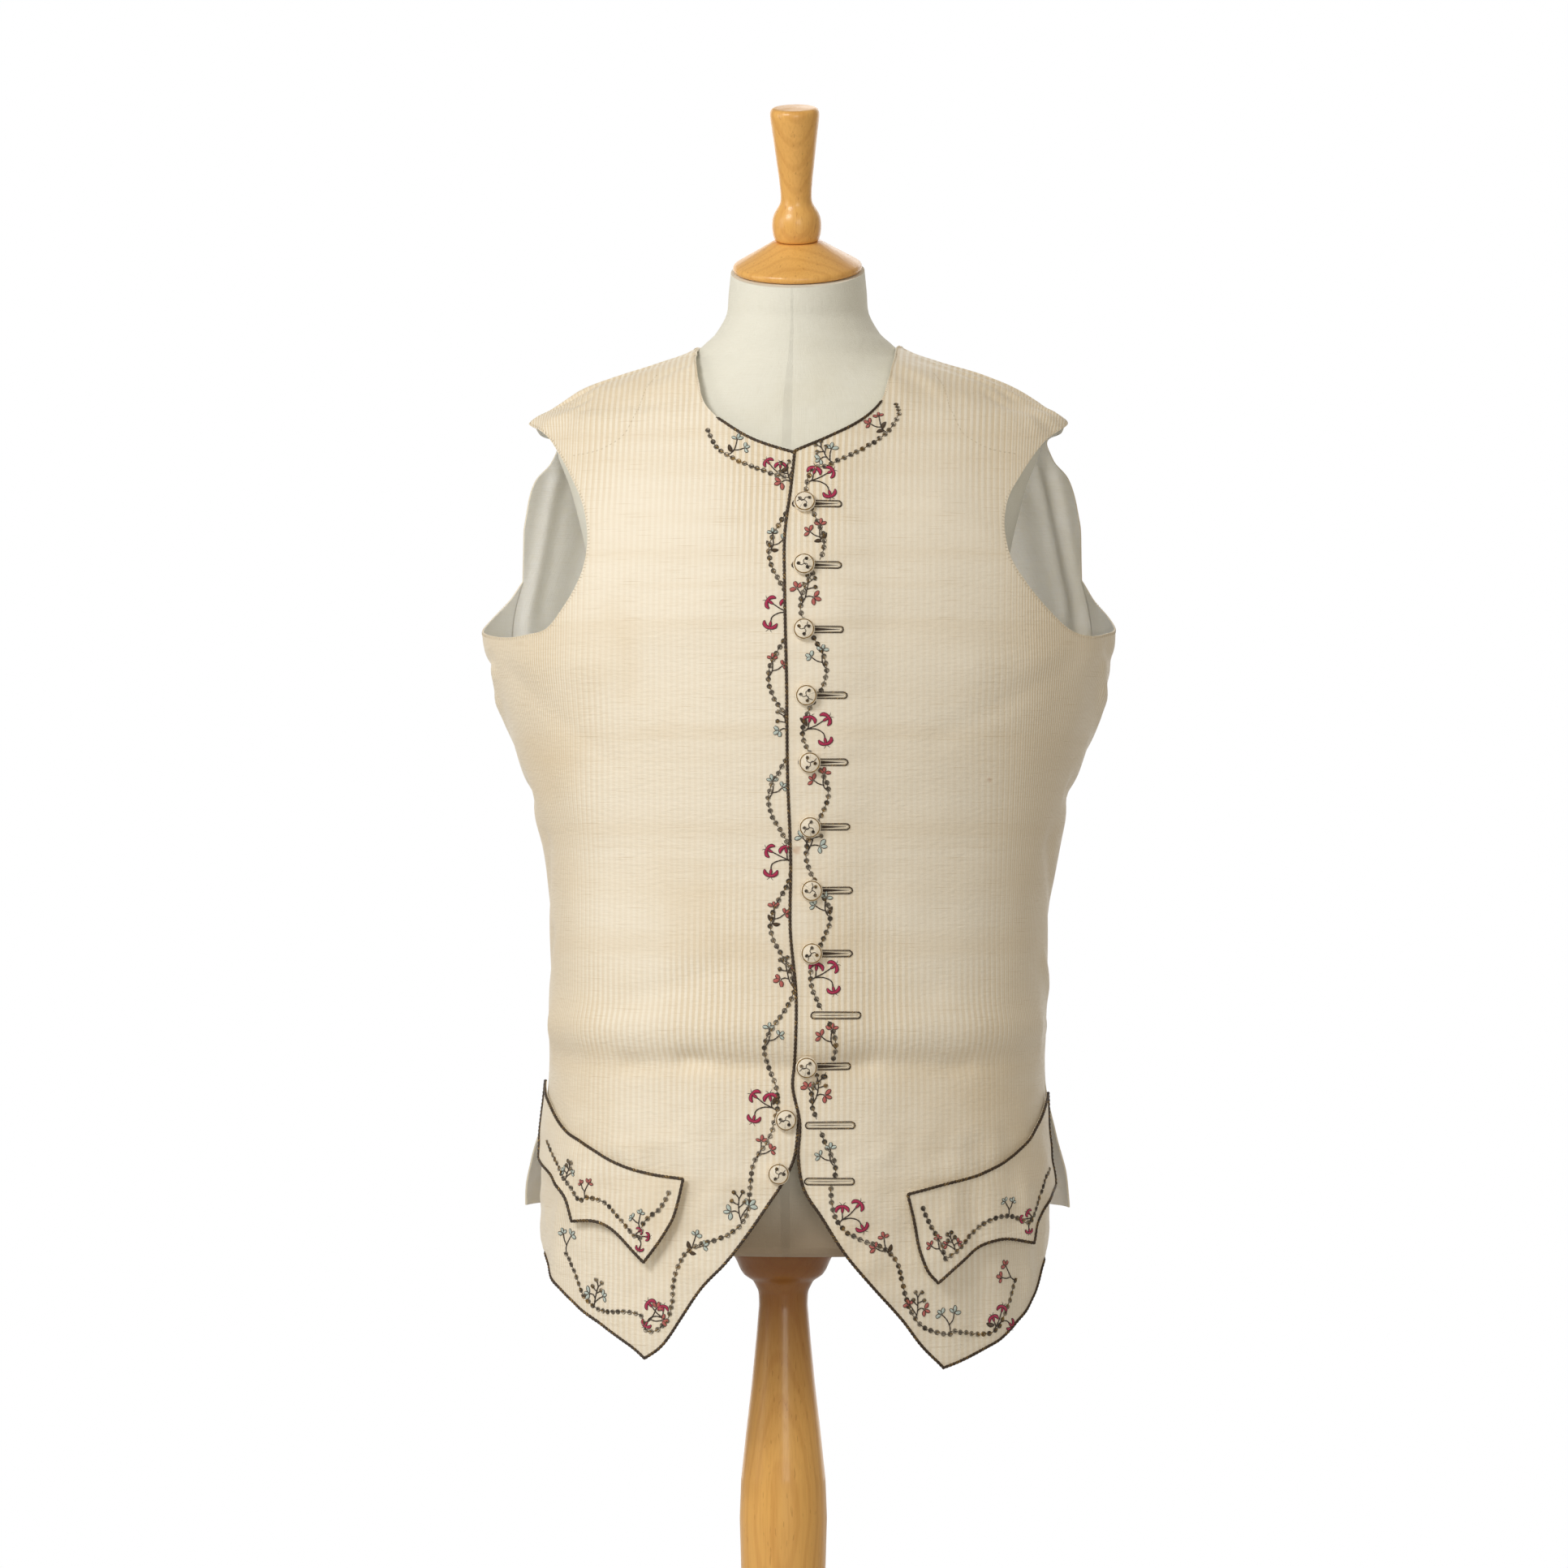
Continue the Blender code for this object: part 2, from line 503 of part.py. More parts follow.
def add_waistcoat():
    for side, hand, flap in ((WEARERS_LEFT, "left", LEFT_FLAP), (WEARERS_RIGHT, "right", RIGHT_FLAP)):
        add_panel(f"front_{hand}", side, front_loop(side), front_height, "silk")
        add_panel(f"back_{hand}", side, back_loop(), back_height, "linen")
        add_panel(f"pocket_flap_{hand}", side, flap_loop(side, flap), flap_height, "silk")


def add_buttons():
    for number, x, z, fastened in BUTTONS:
        button = turned(f"button_{number:02d}", BUTTON_PROFILE, BUTTON_SEGMENTS, "covered_button")
        side = WEARERS_LEFT if fastened else WEARERS_RIGHT
        around, rise = by_x(side, [(side * x, z)])[0]
        step = BUTTON_PROFILE[2][0]
        spots = np.array([(around + i * step, rise + j * step) for i in (0, -1, 1) for j in (0, -1, 1)])
        angles, rises = spots[:, 0] / FLAT_RADIUS, spots[:, 1]
        out = FIGURE.outward(side, angles, rises)[0]
        height = front_height(side, angles, rises).max() + BUTTON_CLEARANCE
        button.location = FIGURE.on_ring(side, angles, rises)[0] + out * height
        button.rotation_euler = Vector(out).to_track_quat("Z", "Y").to_euler()


def add_form():
    points, rings = [], []
    for z, side, front, back, front_lens, back_lens in FORM_RINGS:
        ring = []
        lean = math.tan(NECK_LEAN) * fade(z, NECK_LEAN_FROM, FORM_RINGS[-1][0])
        for i in range(FORM_SEGMENTS):
            turn = 2 * math.pi * i / FORM_SEGMENTS
            across, along = math.sin(turn), math.cos(turn)
            y = -front * along**front_lens if along > 0 else back * (-along) ** back_lens
            ring.append(len(points))
            points.append((side * across, y, z + lean * (y - NECK_TOP[1])))
        rings.append(ring)
    faces = ring_faces(rings)
    faces += [rings[0][::-1], rings[-1]]
    add_object("dress_form", points, faces, "calico")


def add_stand():
    knob = turned("finial_knob", ((0.0, KNOB_PROFILE[0][1]), *KNOB_PROFILE), TURNED_SEGMENTS, "beech")
    cap = turned("neck_cap", CAP_PROFILE, TURNED_SEGMENTS, "beech")
    axis = Vector((0.0, -math.sin(NECK_LEAN), math.cos(NECK_LEAN)))
    for piece in (cap, knob):
        piece.location = Vector(NECK_TOP) + axis * TOUCH_GAP
        piece.rotation_euler = (NECK_LEAN, 0.0, 0.0)
    turned("stand_pole", POLE_PROFILE, TURNED_SEGMENTS, "beech").location.x = POLE_X
    turned("stand_base", BASE_PROFILE, BASE_SEGMENTS, "beech").location.x = POLE_X


def main():
    for existing in list(bpy.data.objects):
        bpy.data.objects.remove(existing, do_unlink=True)
    add_waistcoat()
    add_buttons()
    add_form()
    add_stand()


main()
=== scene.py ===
"""Looks of the embroidered waistcoat on its dress form: cloth, embroidery, buttons, form and beech."""

import math
import random

import bpy
import numpy as np
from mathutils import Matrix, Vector, noise
from mathutils.bvhtree import BVHTree
from mathutils.geometry import delaunay_2d_cdt
from mathutils.kdtree import KDTree


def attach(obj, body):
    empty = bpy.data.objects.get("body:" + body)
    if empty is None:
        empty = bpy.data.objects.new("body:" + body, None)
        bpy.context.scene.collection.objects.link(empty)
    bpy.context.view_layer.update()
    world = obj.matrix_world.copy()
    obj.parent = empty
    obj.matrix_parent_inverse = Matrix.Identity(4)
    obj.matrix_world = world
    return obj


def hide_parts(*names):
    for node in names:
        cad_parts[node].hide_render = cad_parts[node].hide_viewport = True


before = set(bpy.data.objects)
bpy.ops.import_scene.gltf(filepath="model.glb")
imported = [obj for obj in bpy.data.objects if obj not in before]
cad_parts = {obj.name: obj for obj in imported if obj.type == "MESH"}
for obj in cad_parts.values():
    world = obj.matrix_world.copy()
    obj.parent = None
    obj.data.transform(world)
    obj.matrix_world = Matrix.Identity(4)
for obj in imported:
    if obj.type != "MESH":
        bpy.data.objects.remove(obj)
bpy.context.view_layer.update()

# Cloth: the worn figure and the cuts repeat the CAD's short tables, in metres.
CLOTH_WALL = 0.0012
SEAM_HALF_GAP = 0.0001
SHOULDER_HALF_GAP = 0.0002
FLAT_RADIUS = 0.17
GRID = 0.0042
EDGE_STEP = 0.0030
LAP_LIFT = 0.0032
LAP_FADE = (0.032, 0.075)
FLAP_CLEARANCE = 0.0012
FLAP_DROOP = 0.0052
FLAP_TOP, FLAP_BOTTOM = 0.835, 0.700
BACK_SKIRT_FLARE = 0.017
VENT_TOP = 0.845
BACK_HEM = 0.738
WEARERS_LEFT, WEARERS_RIGHT = 1, -1

RING_COLUMNS = ("z", "right", "left", "front", "back", "front_lens", "back_lens")
RINGS = (
    (0.6200, 0.1960, 0.1920, 0.134, 0.122, 0.92, 0.85),
    (0.7110, 0.1965, 0.1935, 0.133, 0.122, 0.92, 0.85),
    (0.7450, 0.1965, 0.1920, 0.132, 0.120, 0.92, 0.85),
    (0.8000, 0.1930, 0.1900, 0.131, 0.116, 0.92, 0.85),
    (0.8550, 0.1895, 0.1885, 0.129, 0.110, 0.94, 0.88),
    (0.8800, 0.1905, 0.1895, 0.131, 0.105, 0.95, 0.90),
    (0.9200, 0.1900, 0.1900, 0.130, 0.099, 0.98, 0.92),
    (0.9660, 0.1910, 0.1915, 0.128, 0.096, 1.02, 0.95),
    (1.0130, 0.1945, 0.1990, 0.129, 0.099, 1.08, 0.98),
    (1.0530, 0.2055, 0.2085, 0.131, 0.104, 1.14, 1.00),
    (1.0980, 0.2185, 0.2225, 0.133, 0.110, 1.20, 1.00),
    (1.1370, 0.2310, 0.2345, 0.133, 0.114, 1.24, 1.00),
    (1.1830, 0.2415, 0.2415, 0.131, 0.117, 1.25, 1.00),
    (1.2500, 0.2320, 0.2320, 0.119, 0.118, 1.22, 0.98),
    (1.3000, 0.2215, 0.2215, 0.102, 0.113, 1.32, 0.96),
    (1.3250, 0.2140, 0.2140, 0.091, 0.109, 1.50, 0.95),
    (1.3425, 0.2046, 0.2046, 0.083, 0.105, 1.70, 0.95),
    (1.3500, 0.1900, 0.1900, 0.080, 0.103, 1.78, 0.95),
    (1.3655, 0.1675, 0.1675, 0.073, 0.098, 1.80, 0.95),
    (1.3756, 0.1425, 0.1425, 0.069, 0.093, 1.78, 0.95),
    (1.3870, 0.1070, 0.1070, 0.064, 0.085, 1.65, 0.95),
    (1.4000, 0.0766, 0.0766, 0.060, 0.074, 1.60, 0.95),
    (1.4060, 0.0700, 0.0700, 0.058, 0.070, 1.60, 0.95),
)
OVERLAP_EDGE = (  # x, z
    (0.0030, 1.3113), (0.0010, 1.2860), (-0.0030, 1.2490), (-0.0026, 1.2060), (-0.0010, 1.1450),
    (-0.0002, 1.0700), (0.0018, 1.0050), (0.0014, 0.9600), (0.0060, 0.9050), (0.0046, 0.8600),
    (0.0032, 0.8450), (0.0086, 0.8150), (0.0076, 0.7900), (0.0117, 0.7670), (0.0243, 0.7468),
    (0.0416, 0.7193), (0.0643, 0.6919), (0.0828, 0.6710), (0.0977, 0.6507), (0.1138, 0.6334),
)
UNDERLAP_EDGE = (  # x, z
    (-0.0220, 1.3060), (-0.0220, 1.2000), (-0.0220, 1.0500), (-0.0220, 0.9000), (-0.0165, 0.8500),
    (-0.0093, 0.8180), (-0.0046, 0.7870), (0.0032, 0.7710), (0.0139, 0.7550), (0.0283, 0.7340),
    (0.0450, 0.7120), (0.0630, 0.6930), (0.0796, 0.6690), (0.0963, 0.6465), (0.1070, 0.6390),
)
LEFT_HEM = (  # x, z
    (0.1138, 0.6334), (0.1238, 0.6367), (0.1390, 0.6433), (0.1551, 0.6513), (0.1677, 0.6632),
    (0.1767, 0.6740), (0.1832, 0.6890), (0.1885, 0.7080),
)
RIGHT_HEM = (
    (0.1070, 0.6390), (0.1140, 0.6447), (0.1260, 0.6525), (0.1495, 0.6659), (0.1704, 0.6820),
    (0.1816, 0.6940), (0.1905, 0.7100),
)
FRONT_VENT = ((84.0, 0.7220), (87.5, 0.7450), (90.0, 0.8000))  # degrees, z
SIDE_SEAM = ((91.0, VENT_TOP), (93.0, 0.9200), (99.0, 1.0200), (107.0, 1.1200), (114.0, 1.2220))
UNDERARM = ((110.0, 1.2080), (101.0, 1.1930), (90.0, 1.1835), (80.0, 1.1795))
LEFT_ARMHOLE = (  # x, z
    (0.2057, 1.1820), (0.1900, 1.1970), (0.1750, 1.2150), (0.1636, 1.2324), (0.1587, 1.2550),
    (0.1620, 1.2795), (0.1711, 1.2974), (0.1842, 1.3180),
)
RIGHT_ARMHOLE = (
    (0.2000, 1.1775), (0.1856, 1.1810), (0.1706, 1.1980), (0.1565, 1.2240), (0.1524, 1.2470),
    (0.1557, 1.2717), (0.1694, 1.3005), (0.1844, 1.3237),
)
SHOULDER_TIP = (90.0, 1.3425)
SHOULDER_SEAM = ((97.0, 1.3425), (98.5, 1.3700), (100.0, 1.4000))
NECKLINE = (
    (0.0758, 1.3965), (0.0756, 1.3910), (0.0742, 1.3820), (0.0718, 1.3700), (0.0665, 1.3520),
    (0.0560, 1.3395), (0.0290, 1.3228),
)
BACK_ARMHOLE = ((106.0, 1.3350), (117.0, 1.3260), (116.0, 1.3140), (111.0, 1.3000), (110.0, 1.2700))
BACK_VENT = ((93.0, 0.8000), (97.0, BACK_HEM + 0.002))
BACK_NECKLINE = ((180.0, 1.3940), (150.0, 1.3960), (125.0, 1.3985))
LEFT_FLAP = (
    ((0.1884, 0.8310), (0.1857, 0.8210), (0.1795, 0.8075), (0.1689, 0.7940), (0.1539, 0.7833),
     (0.1387, 0.7764), (0.1120, 0.7700), (0.0858, 0.7635)),
    ((0.0858, 0.7635), (0.0911, 0.7390), (0.0947, 0.7193), (0.1007, 0.7044), (0.1073, 0.6967)),
    ((0.1073, 0.6967), (0.1267, 0.7133), (0.1388, 0.7223), (0.1510, 0.7260), (0.1732, 0.7214)),
    ((0.1732, 0.7214), (0.1750, 0.7311), (0.1810, 0.7420), (0.1865, 0.7523), (0.1910, 0.7606)),
)
RIGHT_FLAP = (
    ((0.1900, 0.8380), (0.1840, 0.8233), (0.1690, 0.8056), (0.1486, 0.7947), (0.1266, 0.7838),
     (0.1037, 0.7776), (0.0749, 0.7743)),
    ((0.0749, 0.7743), (0.0784, 0.7587), (0.0826, 0.7438), (0.0892, 0.7320), (0.1041, 0.7104)),
    ((0.1041, 0.7104), (0.1148, 0.7210), (0.1267, 0.7318), (0.1420, 0.7385), (0.1603, 0.7375)),
    ((0.1603, 0.7375), (0.1640, 0.7500), (0.1690, 0.7600), (0.1770, 0.7680), (0.1915, 0.7800)),
)

# Creases: from degrees and z to degrees and z, half width, height off the figure.
SHARED_FRONT_CREASES = (
    (-8, 0.884, 74, 0.882, 0.016, 0.0036),
    (82, 1.060, 112, 1.040, 0.012, -0.0045),
    (36, 1.150, 84, 1.168, 0.016, 0.0015),
    (20, 0.830, 18, 0.690, 0.020, 0.0020),
    (44, 0.760, 47, 0.660, 0.012, -0.0022),
    (62, 0.760, 66, 0.690, 0.011, 0.0026),
    (78, 1.150, 96, 1.100, 0.009, 0.0028),
    (74, 1.020, 92, 0.960, 0.010, -0.0022),
    (60, 1.340, 84, 1.352, 0.009, 0.0016),
)
LEFT_FRONT_CREASES = SHARED_FRONT_CREASES + (
    (-12, 0.8555, 18, 0.8590, 0.0070, -0.0030),
    (16, 0.8600, 44, 0.8570, 0.0080, -0.0020),
    (40, 0.8560, 74, 0.8660, 0.0080, -0.0014),
    (10, 0.9600, 34, 0.9120, 0.0120, -0.0012),
    (30, 1.1000, 62, 1.1600, 0.0100, -0.0009),
    (22, 0.7900, 52, 0.7600, 0.0090, 0.0014),
    (30, 1.2700, 48, 1.2300, 0.0120, 0.0012),
    (80, 0.9300, 96, 0.8900, 0.0070, 0.0024),
    (56, 1.3560, 68, 1.3300, 0.0070, -0.0014),
    (66, 1.3700, 78, 1.3480, 0.0060, 0.0014),
    (78, 1.1650, 106, 1.1500, 0.0060, -0.0016),
    (82, 1.1350, 104, 1.1150, 0.0050, 0.0014),
)
RIGHT_FRONT_CREASES = SHARED_FRONT_CREASES + (
    (-10, 0.8540, 24, 0.8600, 0.0070, -0.0034),
    (20, 0.8610, 40, 0.8570, 0.0075, -0.0024),
    (36, 0.8560, 72, 0.8600, 0.0090, -0.0012),
    (14, 0.9300, 46, 0.8950, 0.0110, -0.0013),
    (38, 1.0800, 66, 1.1500, 0.0100, -0.0009),
    (26, 0.8000, 58, 0.7860, 0.0080, 0.0012),
    (34, 1.2600, 50, 1.2900, 0.0110, 0.0012),
    (76, 0.9500, 94, 0.9100, 0.0080, -0.0022),
    (60, 1.3500, 72, 1.3250, 0.0070, 0.0014),
    (70, 1.3740, 80, 1.3560, 0.0060, -0.0014),
    (76, 1.1600, 108, 1.1440, 0.0055, -0.0018),
    (84, 1.1300, 106, 1.1080, 0.0050, 0.0014),
)
BACK_CREASES = (
    (118, 1.300, 116, 1.080, 0.012, -0.0040),
    (133, 1.280, 128, 0.980, 0.014, 0.0045),
    (150, 1.300, 146, 1.050, 0.013, -0.0030),
    (166, 1.240, 164, 0.960, 0.015, 0.0030),
    (100, 0.880, 170, 0.872, 0.014, 0.0035),
    (102, 0.852, 168, 0.858, 0.006, -0.0026),
    (118, 0.840, 116, 0.745, 0.013, 0.0050),
    (144, 0.840, 146, 0.745, 0.014, 0.0040),
    (108, 1.260, 110, 1.150, 0.006, 0.0022),
    (124, 1.330, 122, 1.200, 0.006, 0.0020),
    (141, 1.200, 139, 1.020, 0.007, -0.0022),
    (158, 1.330, 156, 1.200, 0.008, 0.0016),
    (112, 1.020, 132, 0.930, 0.009, -0.0022),
    (130, 0.960, 160, 0.915, 0.010, 0.0018),
    (130, 0.820, 131, 0.742, 0.007, -0.0030),
    (162, 0.820, 161, 0.742, 0.008, -0.0026),
)

# Fastenings on the wearer's left front: button number, height, where the hole ends, fastened.
HOLE_LENGTH, HOLE_HEIGHT = 0.0365, 0.0046
HOLES = (
    (1, 1.2712, 0.0390, True), (2, 1.2256, 0.0395, True), (3, 1.1784, 0.0412, True),
    (4, 1.1300, 0.0440, True), (5, 1.0810, 0.0446, True), (6, 1.0336, 0.0455, True),
    (7, 0.9868, 0.0476, True), (8, 0.9402, 0.0476, True), (9, 0.8950, 0.0535, False),
    (10, 0.8572, 0.0466, True), (11, 0.8140, 0.0495, False), (12, 0.7730, 0.0490, False),
)

random.seed(1780)


# Shapes in numbers

def curve_through(keys, values):
    """A smooth curve through the values of a table column, as a function of the key column."""
    slopes = np.gradient(values, keys)

    def at(key):
        key = np.clip(key, keys[0], keys[-1])
        row = np.clip(np.searchsorted(keys, key) - 1, 0, len(keys) - 2)
        span = keys[row + 1] - keys[row]
        t = (key - keys[row]) / span
        start = (2 * t**3 - 3 * t**2 + 1) * values[row] + (t**3 - 2 * t**2 + t) * span * slopes[row]
        end = (3 * t**2 - 2 * t**3) * values[row + 1] + (t**3 - t**2) * span * slopes[row + 1]
        return start + end

    return at


def lengths_along(points):
    return np.concatenate([[0.0], np.cumsum(np.linalg.norm(np.diff(points, axis=0), axis=1))])


def resampled(points, step, smooth=True):
    """Points a step apart along a curve through these, both ends included."""
    points = np.array(points, float)
    lengths = lengths_along(points)
    along = np.linspace(0.0, lengths[-1], max(1, round(lengths[-1] / step)) + 1)
    if smooth and len(points) > 2:
        return np.stack([curve_through(lengths, points[:, i])(along) for i in range(points.shape[1])], 1)
    return np.stack([np.interp(along, lengths, points[:, i]) for i in range(points.shape[1])], 1)


def fade(value, start, end):
    t = np.clip((value - start) / (end - start), 0.0, 1.0)
    return t * t * (3 - 2 * t)


def turned_by(points, degrees):
    """Flat points turned anticlockwise."""
    c, s = math.cos(math.radians(degrees)), math.sin(math.radians(degrees))
    return np.asarray(points) @ np.array([[c, s], [-s, c]])


class Figure:
    """The worn shape, read by angle round it and by rise, the distance climbed up its side."""

    def __init__(self):
        rows = np.array(RINGS)
        named = {name: rows[:, i] for i, name in enumerate(RING_COLUMNS)}
        reach = (named["left"] + named["right"]) / 2
        rise = np.concatenate([[0.0], np.cumsum(np.hypot(np.diff(named["z"]), np.diff(reach)))])
        self.read = {name: curve_through(rise, column) for name, column in named.items()}
        self.fine_rise = np.linspace(0.0, rise[-1], 4000)
        self.fine_z = self.read["z"](self.fine_rise)
        self.angles = np.linspace(-0.4, math.pi + 0.1, 260)
        self.rises = np.linspace(0.0, rise[-1], 240)
        self.girths = {side: self.girth_table(side) for side in (WEARERS_LEFT, WEARERS_RIGHT)}

    def rise_at(self, z):
        return np.interp(z, self.fine_z, self.fine_rise)

    def reach(self, side, rise):
        return self.read["left" if side > 0 else "right"](rise)

    def on_ring(self, side, angle, rise):
        angle, rise = np.broadcast_arrays(angle, rise)
        across, along = np.sin(angle), np.cos(angle)
        front = self.read["front"](rise) * np.abs(along) ** self.read["front_lens"](rise)
        back = self.read["back"](rise) * np.abs(along) ** self.read["back_lens"](rise)
        y = np.where(along > 0, -front, back)
        return np.stack([side * self.reach(side, rise) * across, y, self.read["z"](rise)], axis=-1)

    def outward(self, side, angle, rise):
        turn, climb = 0.03, 0.006
        around = self.on_ring(side, angle + turn, rise) - self.on_ring(side, angle - turn, rise)
        up = self.on_ring(side, angle, rise + climb) - self.on_ring(side, angle, rise - climb)
        normal = side * np.cross(around, up)
        return normal / np.linalg.norm(normal, axis=-1, keepdims=True)

    def girth_table(self, side):
        """Cloth distance round each ring from the centre front to each angle."""
        points = self.on_ring(side, self.angles[None, :], self.rises[:, None])
        steps = np.linalg.norm(np.diff(points, axis=1), axis=2)
        table = np.concatenate([np.zeros((len(self.rises), 1)), np.cumsum(steps, axis=1)], axis=1)
        at_front = np.array([np.interp(0.0, self.angles, row) for row in table])
        return table - at_front[:, None]

    def girth(self, side, angle, rise):
        a = np.clip(np.interp(angle, self.angles, np.arange(len(self.angles))), 0, len(self.angles) - 1.001)
        r = np.clip(np.interp(rise, self.rises, np.arange(len(self.rises))), 0, len(self.rises) - 1.001)
        i, j = a.astype(int), r.astype(int)
        s, t = a - i, r - j
        table = self.girths[side]
        low = table[j, i] * (1 - s) + table[j, i + 1] * s
        high = table[j + 1, i] * (1 - s) + table[j + 1, i + 1] * s
        return low * (1 - t) + high * t

    def angle_at(self, side, girth, rise):
        """The angle at each cloth distance round: the girth table read backwards."""
        angle = girth / self.reach(side, rise)
        for _ in range(12):
            error = girth - self.girth(side, angle, rise)
            angle = angle + error / (self.reach(side, rise) * 0.85)
            angle = np.clip(angle, self.angles[0], self.angles[-1])
        return angle


FIGURE = Figure()


def by_degrees(rows):
    return [(math.radians(degrees) * FLAT_RADIUS, float(FIGURE.rise_at(z))) for degrees, z in rows]


def by_x(side, rows):
    flat = []
    for x, z in rows:
        rise = float(FIGURE.rise_at(z))
        sine = x / float(FIGURE.reach(side, rise))
        flat.append((math.asin(max(-1.0, min(1.0, sine))) * FLAT_RADIUS, rise))
    return flat


def shifted(points, distance):
    return [(around + distance, rise) for around, rise in points]


def outline(*edges):
    """A closed outline of smooth edges, each starting where the one before it ends."""
    return np.concatenate([resampled(edge, EDGE_STEP)[:-1] for edge in edges])


def inside(points, loop):
    found = []
    start, end = loop, np.roll(loop, -1, axis=0)
    rise = np.where(end[:, 1] == start[:, 1], 1.0, end[:, 1] - start[:, 1])
    for part in np.array_split(points, max(1, len(points) // 2000)):
        x, y = part[:, 0][:, None], part[:, 1][:, None]
        crosses = (start[:, 1] > y) != (end[:, 1] > y)
        where = start[:, 0] + (y - start[:, 1]) * (end[:, 0] - start[:, 0]) / rise
        found.append((crosses & (x < where)).sum(axis=1) % 2 == 1)
    return np.concatenate(found)


def filled(loop):
    """The loop's points followed by staggered points inside it, and the triangles between them."""
    low, high = loop.min(axis=0), loop.max(axis=0)
    rows = []
    for i, y in enumerate(np.arange(low[1], high[1], GRID * math.sqrt(3) / 2)):
        x = np.arange(low[0] + (i % 2) * GRID / 2, high[0], GRID)
        rows.append(np.stack([x, np.full_like(x, y)], axis=1))
    points = np.concatenate(rows)
    points = points[inside(points, loop)]
    near = KDTree(len(loop))
    for i, (x, y) in enumerate(loop):
        near.insert((x, y, 0.0), i)
    near.balance()
    points = np.array([point for point in points if near.find((*point, 0.0))[2] > 0.6 * GRID])
    flat = np.concatenate([loop, points])
    vectors = [Vector(point) for point in flat]
    triangles = delaunay_2d_cdt(vectors, [], [list(range(len(loop)))], 1, 1e-8)[2]
    return flat, [list(triangle) for triangle in triangles]


def crease_height(creases, angle, z):
    total = np.zeros_like(angle)
    points = np.stack([angle * FLAT_RADIUS, z], axis=1)
    for from_degrees, from_z, to_degrees, to_z, half_width, height in creases:
        start = np.array([math.radians(from_degrees) * FLAT_RADIUS, from_z])
        along = np.array([math.radians(to_degrees) * FLAT_RADIUS, to_z]) - start
        t = ((points - start) @ along) / (along @ along)
        away = np.linalg.norm(points - start - np.clip(t, 0, 1)[:, None] * along, axis=1)
        total += height * np.exp(-((away / half_width) ** 2))
    return total


def slack(angle, z, size, seed):
    """Small uneven ripples of soft cloth."""
    spots = np.stack([angle * FLAT_RADIUS, z, np.full_like(z, seed)], axis=1) / size
    return np.array([noise.noise(Vector(spot)) for spot in spots])


def button_pull(angle, z):
    """Short shallow troughs that fastened buttons draw in the overlap."""
    across = angle * FLAT_RADIUS
    total = np.zeros_like(angle)
    for number, height, _, fastened in HOLES:
        if fastened:
            fan = (z - height) / (0.0035 + 0.22 * np.abs(across - 0.012))
            total -= 0.0011 * np.exp(-(fan**2)) * np.exp(-(((across - 0.035) / 0.03) ** 2))
    return total


def beside_seam(angle, z):
    """0 along the side seam and 1 away from it, so that the two panels meet there."""
    levels = [level for _, level in SIDE_SEAM]
    seam = np.radians(np.interp(z, levels, [degrees for degrees, _ in SIDE_SEAM]))
    away = fade(np.abs(angle - seam) * FLAT_RADIUS, 0.001, 0.016)
    return 1 - fade(z, VENT_TOP, VENT_TOP + 0.03) * (1 - away)


def front_height(side, angle, rise):
    z = FIGURE.read["z"](rise)
    creases = LEFT_FRONT_CREASES if side == WEARERS_LEFT else RIGHT_FRONT_CREASES
    height = crease_height(creases, angle, z) + 0.0007 * slack(angle, z, 0.035, side)
    loose = fade(-z, -0.845, -0.790) + fade(z, 1.325, 1.365)
    height += 0.0012 * slack(angle, z, 0.017, side + 7) * loose
    height += 0.0012 * slack(angle, z * 0.4, 0.05, side + 7) * fade(angle, 0.9, 1.4)
    height *= beside_seam(angle, z)
    if side == WEARERS_LEFT:
        out = FIGURE.reach(side, rise) * np.sin(angle)
        height += LAP_LIFT * (1 - fade(out, *LAP_FADE)) * (angle < math.radians(90))
        height += button_pull(angle, z)
    return height


def back_height(side, angle, rise):
    z = FIGURE.read["z"](rise)
    spread = fade(VENT_TOP - z, 0.0, VENT_TOP - BACK_HEM) * (1 - fade(angle, 1.7, 2.4))
    ripples = 0.0016 * slack(angle, z * 0.3, 0.035, side + 3) + 0.0006 * slack(angle, z, 0.02, side + 5)
    folds = (crease_height(BACK_CREASES, angle, z) + ripples) * beside_seam(angle, z)
    return folds + BACK_SKIRT_FLARE * spread


def flap_height(side, angle, rise):
    z = FIGURE.read["z"](rise)
    droop = FLAP_DROOP * fade(FLAP_TOP - z, 0.0, FLAP_TOP - FLAP_BOTTOM)
    return front_height(side, angle, rise) + CLOTH_WALL + FLAP_CLEARANCE + droop


# Mesh pieces

def add_mesh(name, points, faces, materials, face_slots=None, uv=None, smooth_angle=50):
    mesh = bpy.data.meshes.new(name)
    mesh.from_pydata(np.asarray(points, float).tolist(), [], faces)
    for made in materials:
        mesh.materials.append(made)
    if face_slots is not None:
        mesh.polygons.foreach_set("material_index", face_slots)
    if uv is not None:
        layer = mesh.uv_layers.new(name="flat")
        corners = np.empty(len(mesh.loops), np.int32)
        mesh.loops.foreach_get("vertex_index", corners)
        layer.data.foreach_set("uv", np.asarray(uv, np.float32)[corners].ravel())
    mesh.shade_smooth()
    mesh.set_sharp_from_angle(angle=math.radians(smooth_angle))
    made = bpy.data.objects.new(name, mesh)
    bpy.context.scene.collection.objects.link(made)
    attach(made, "root")
    return made


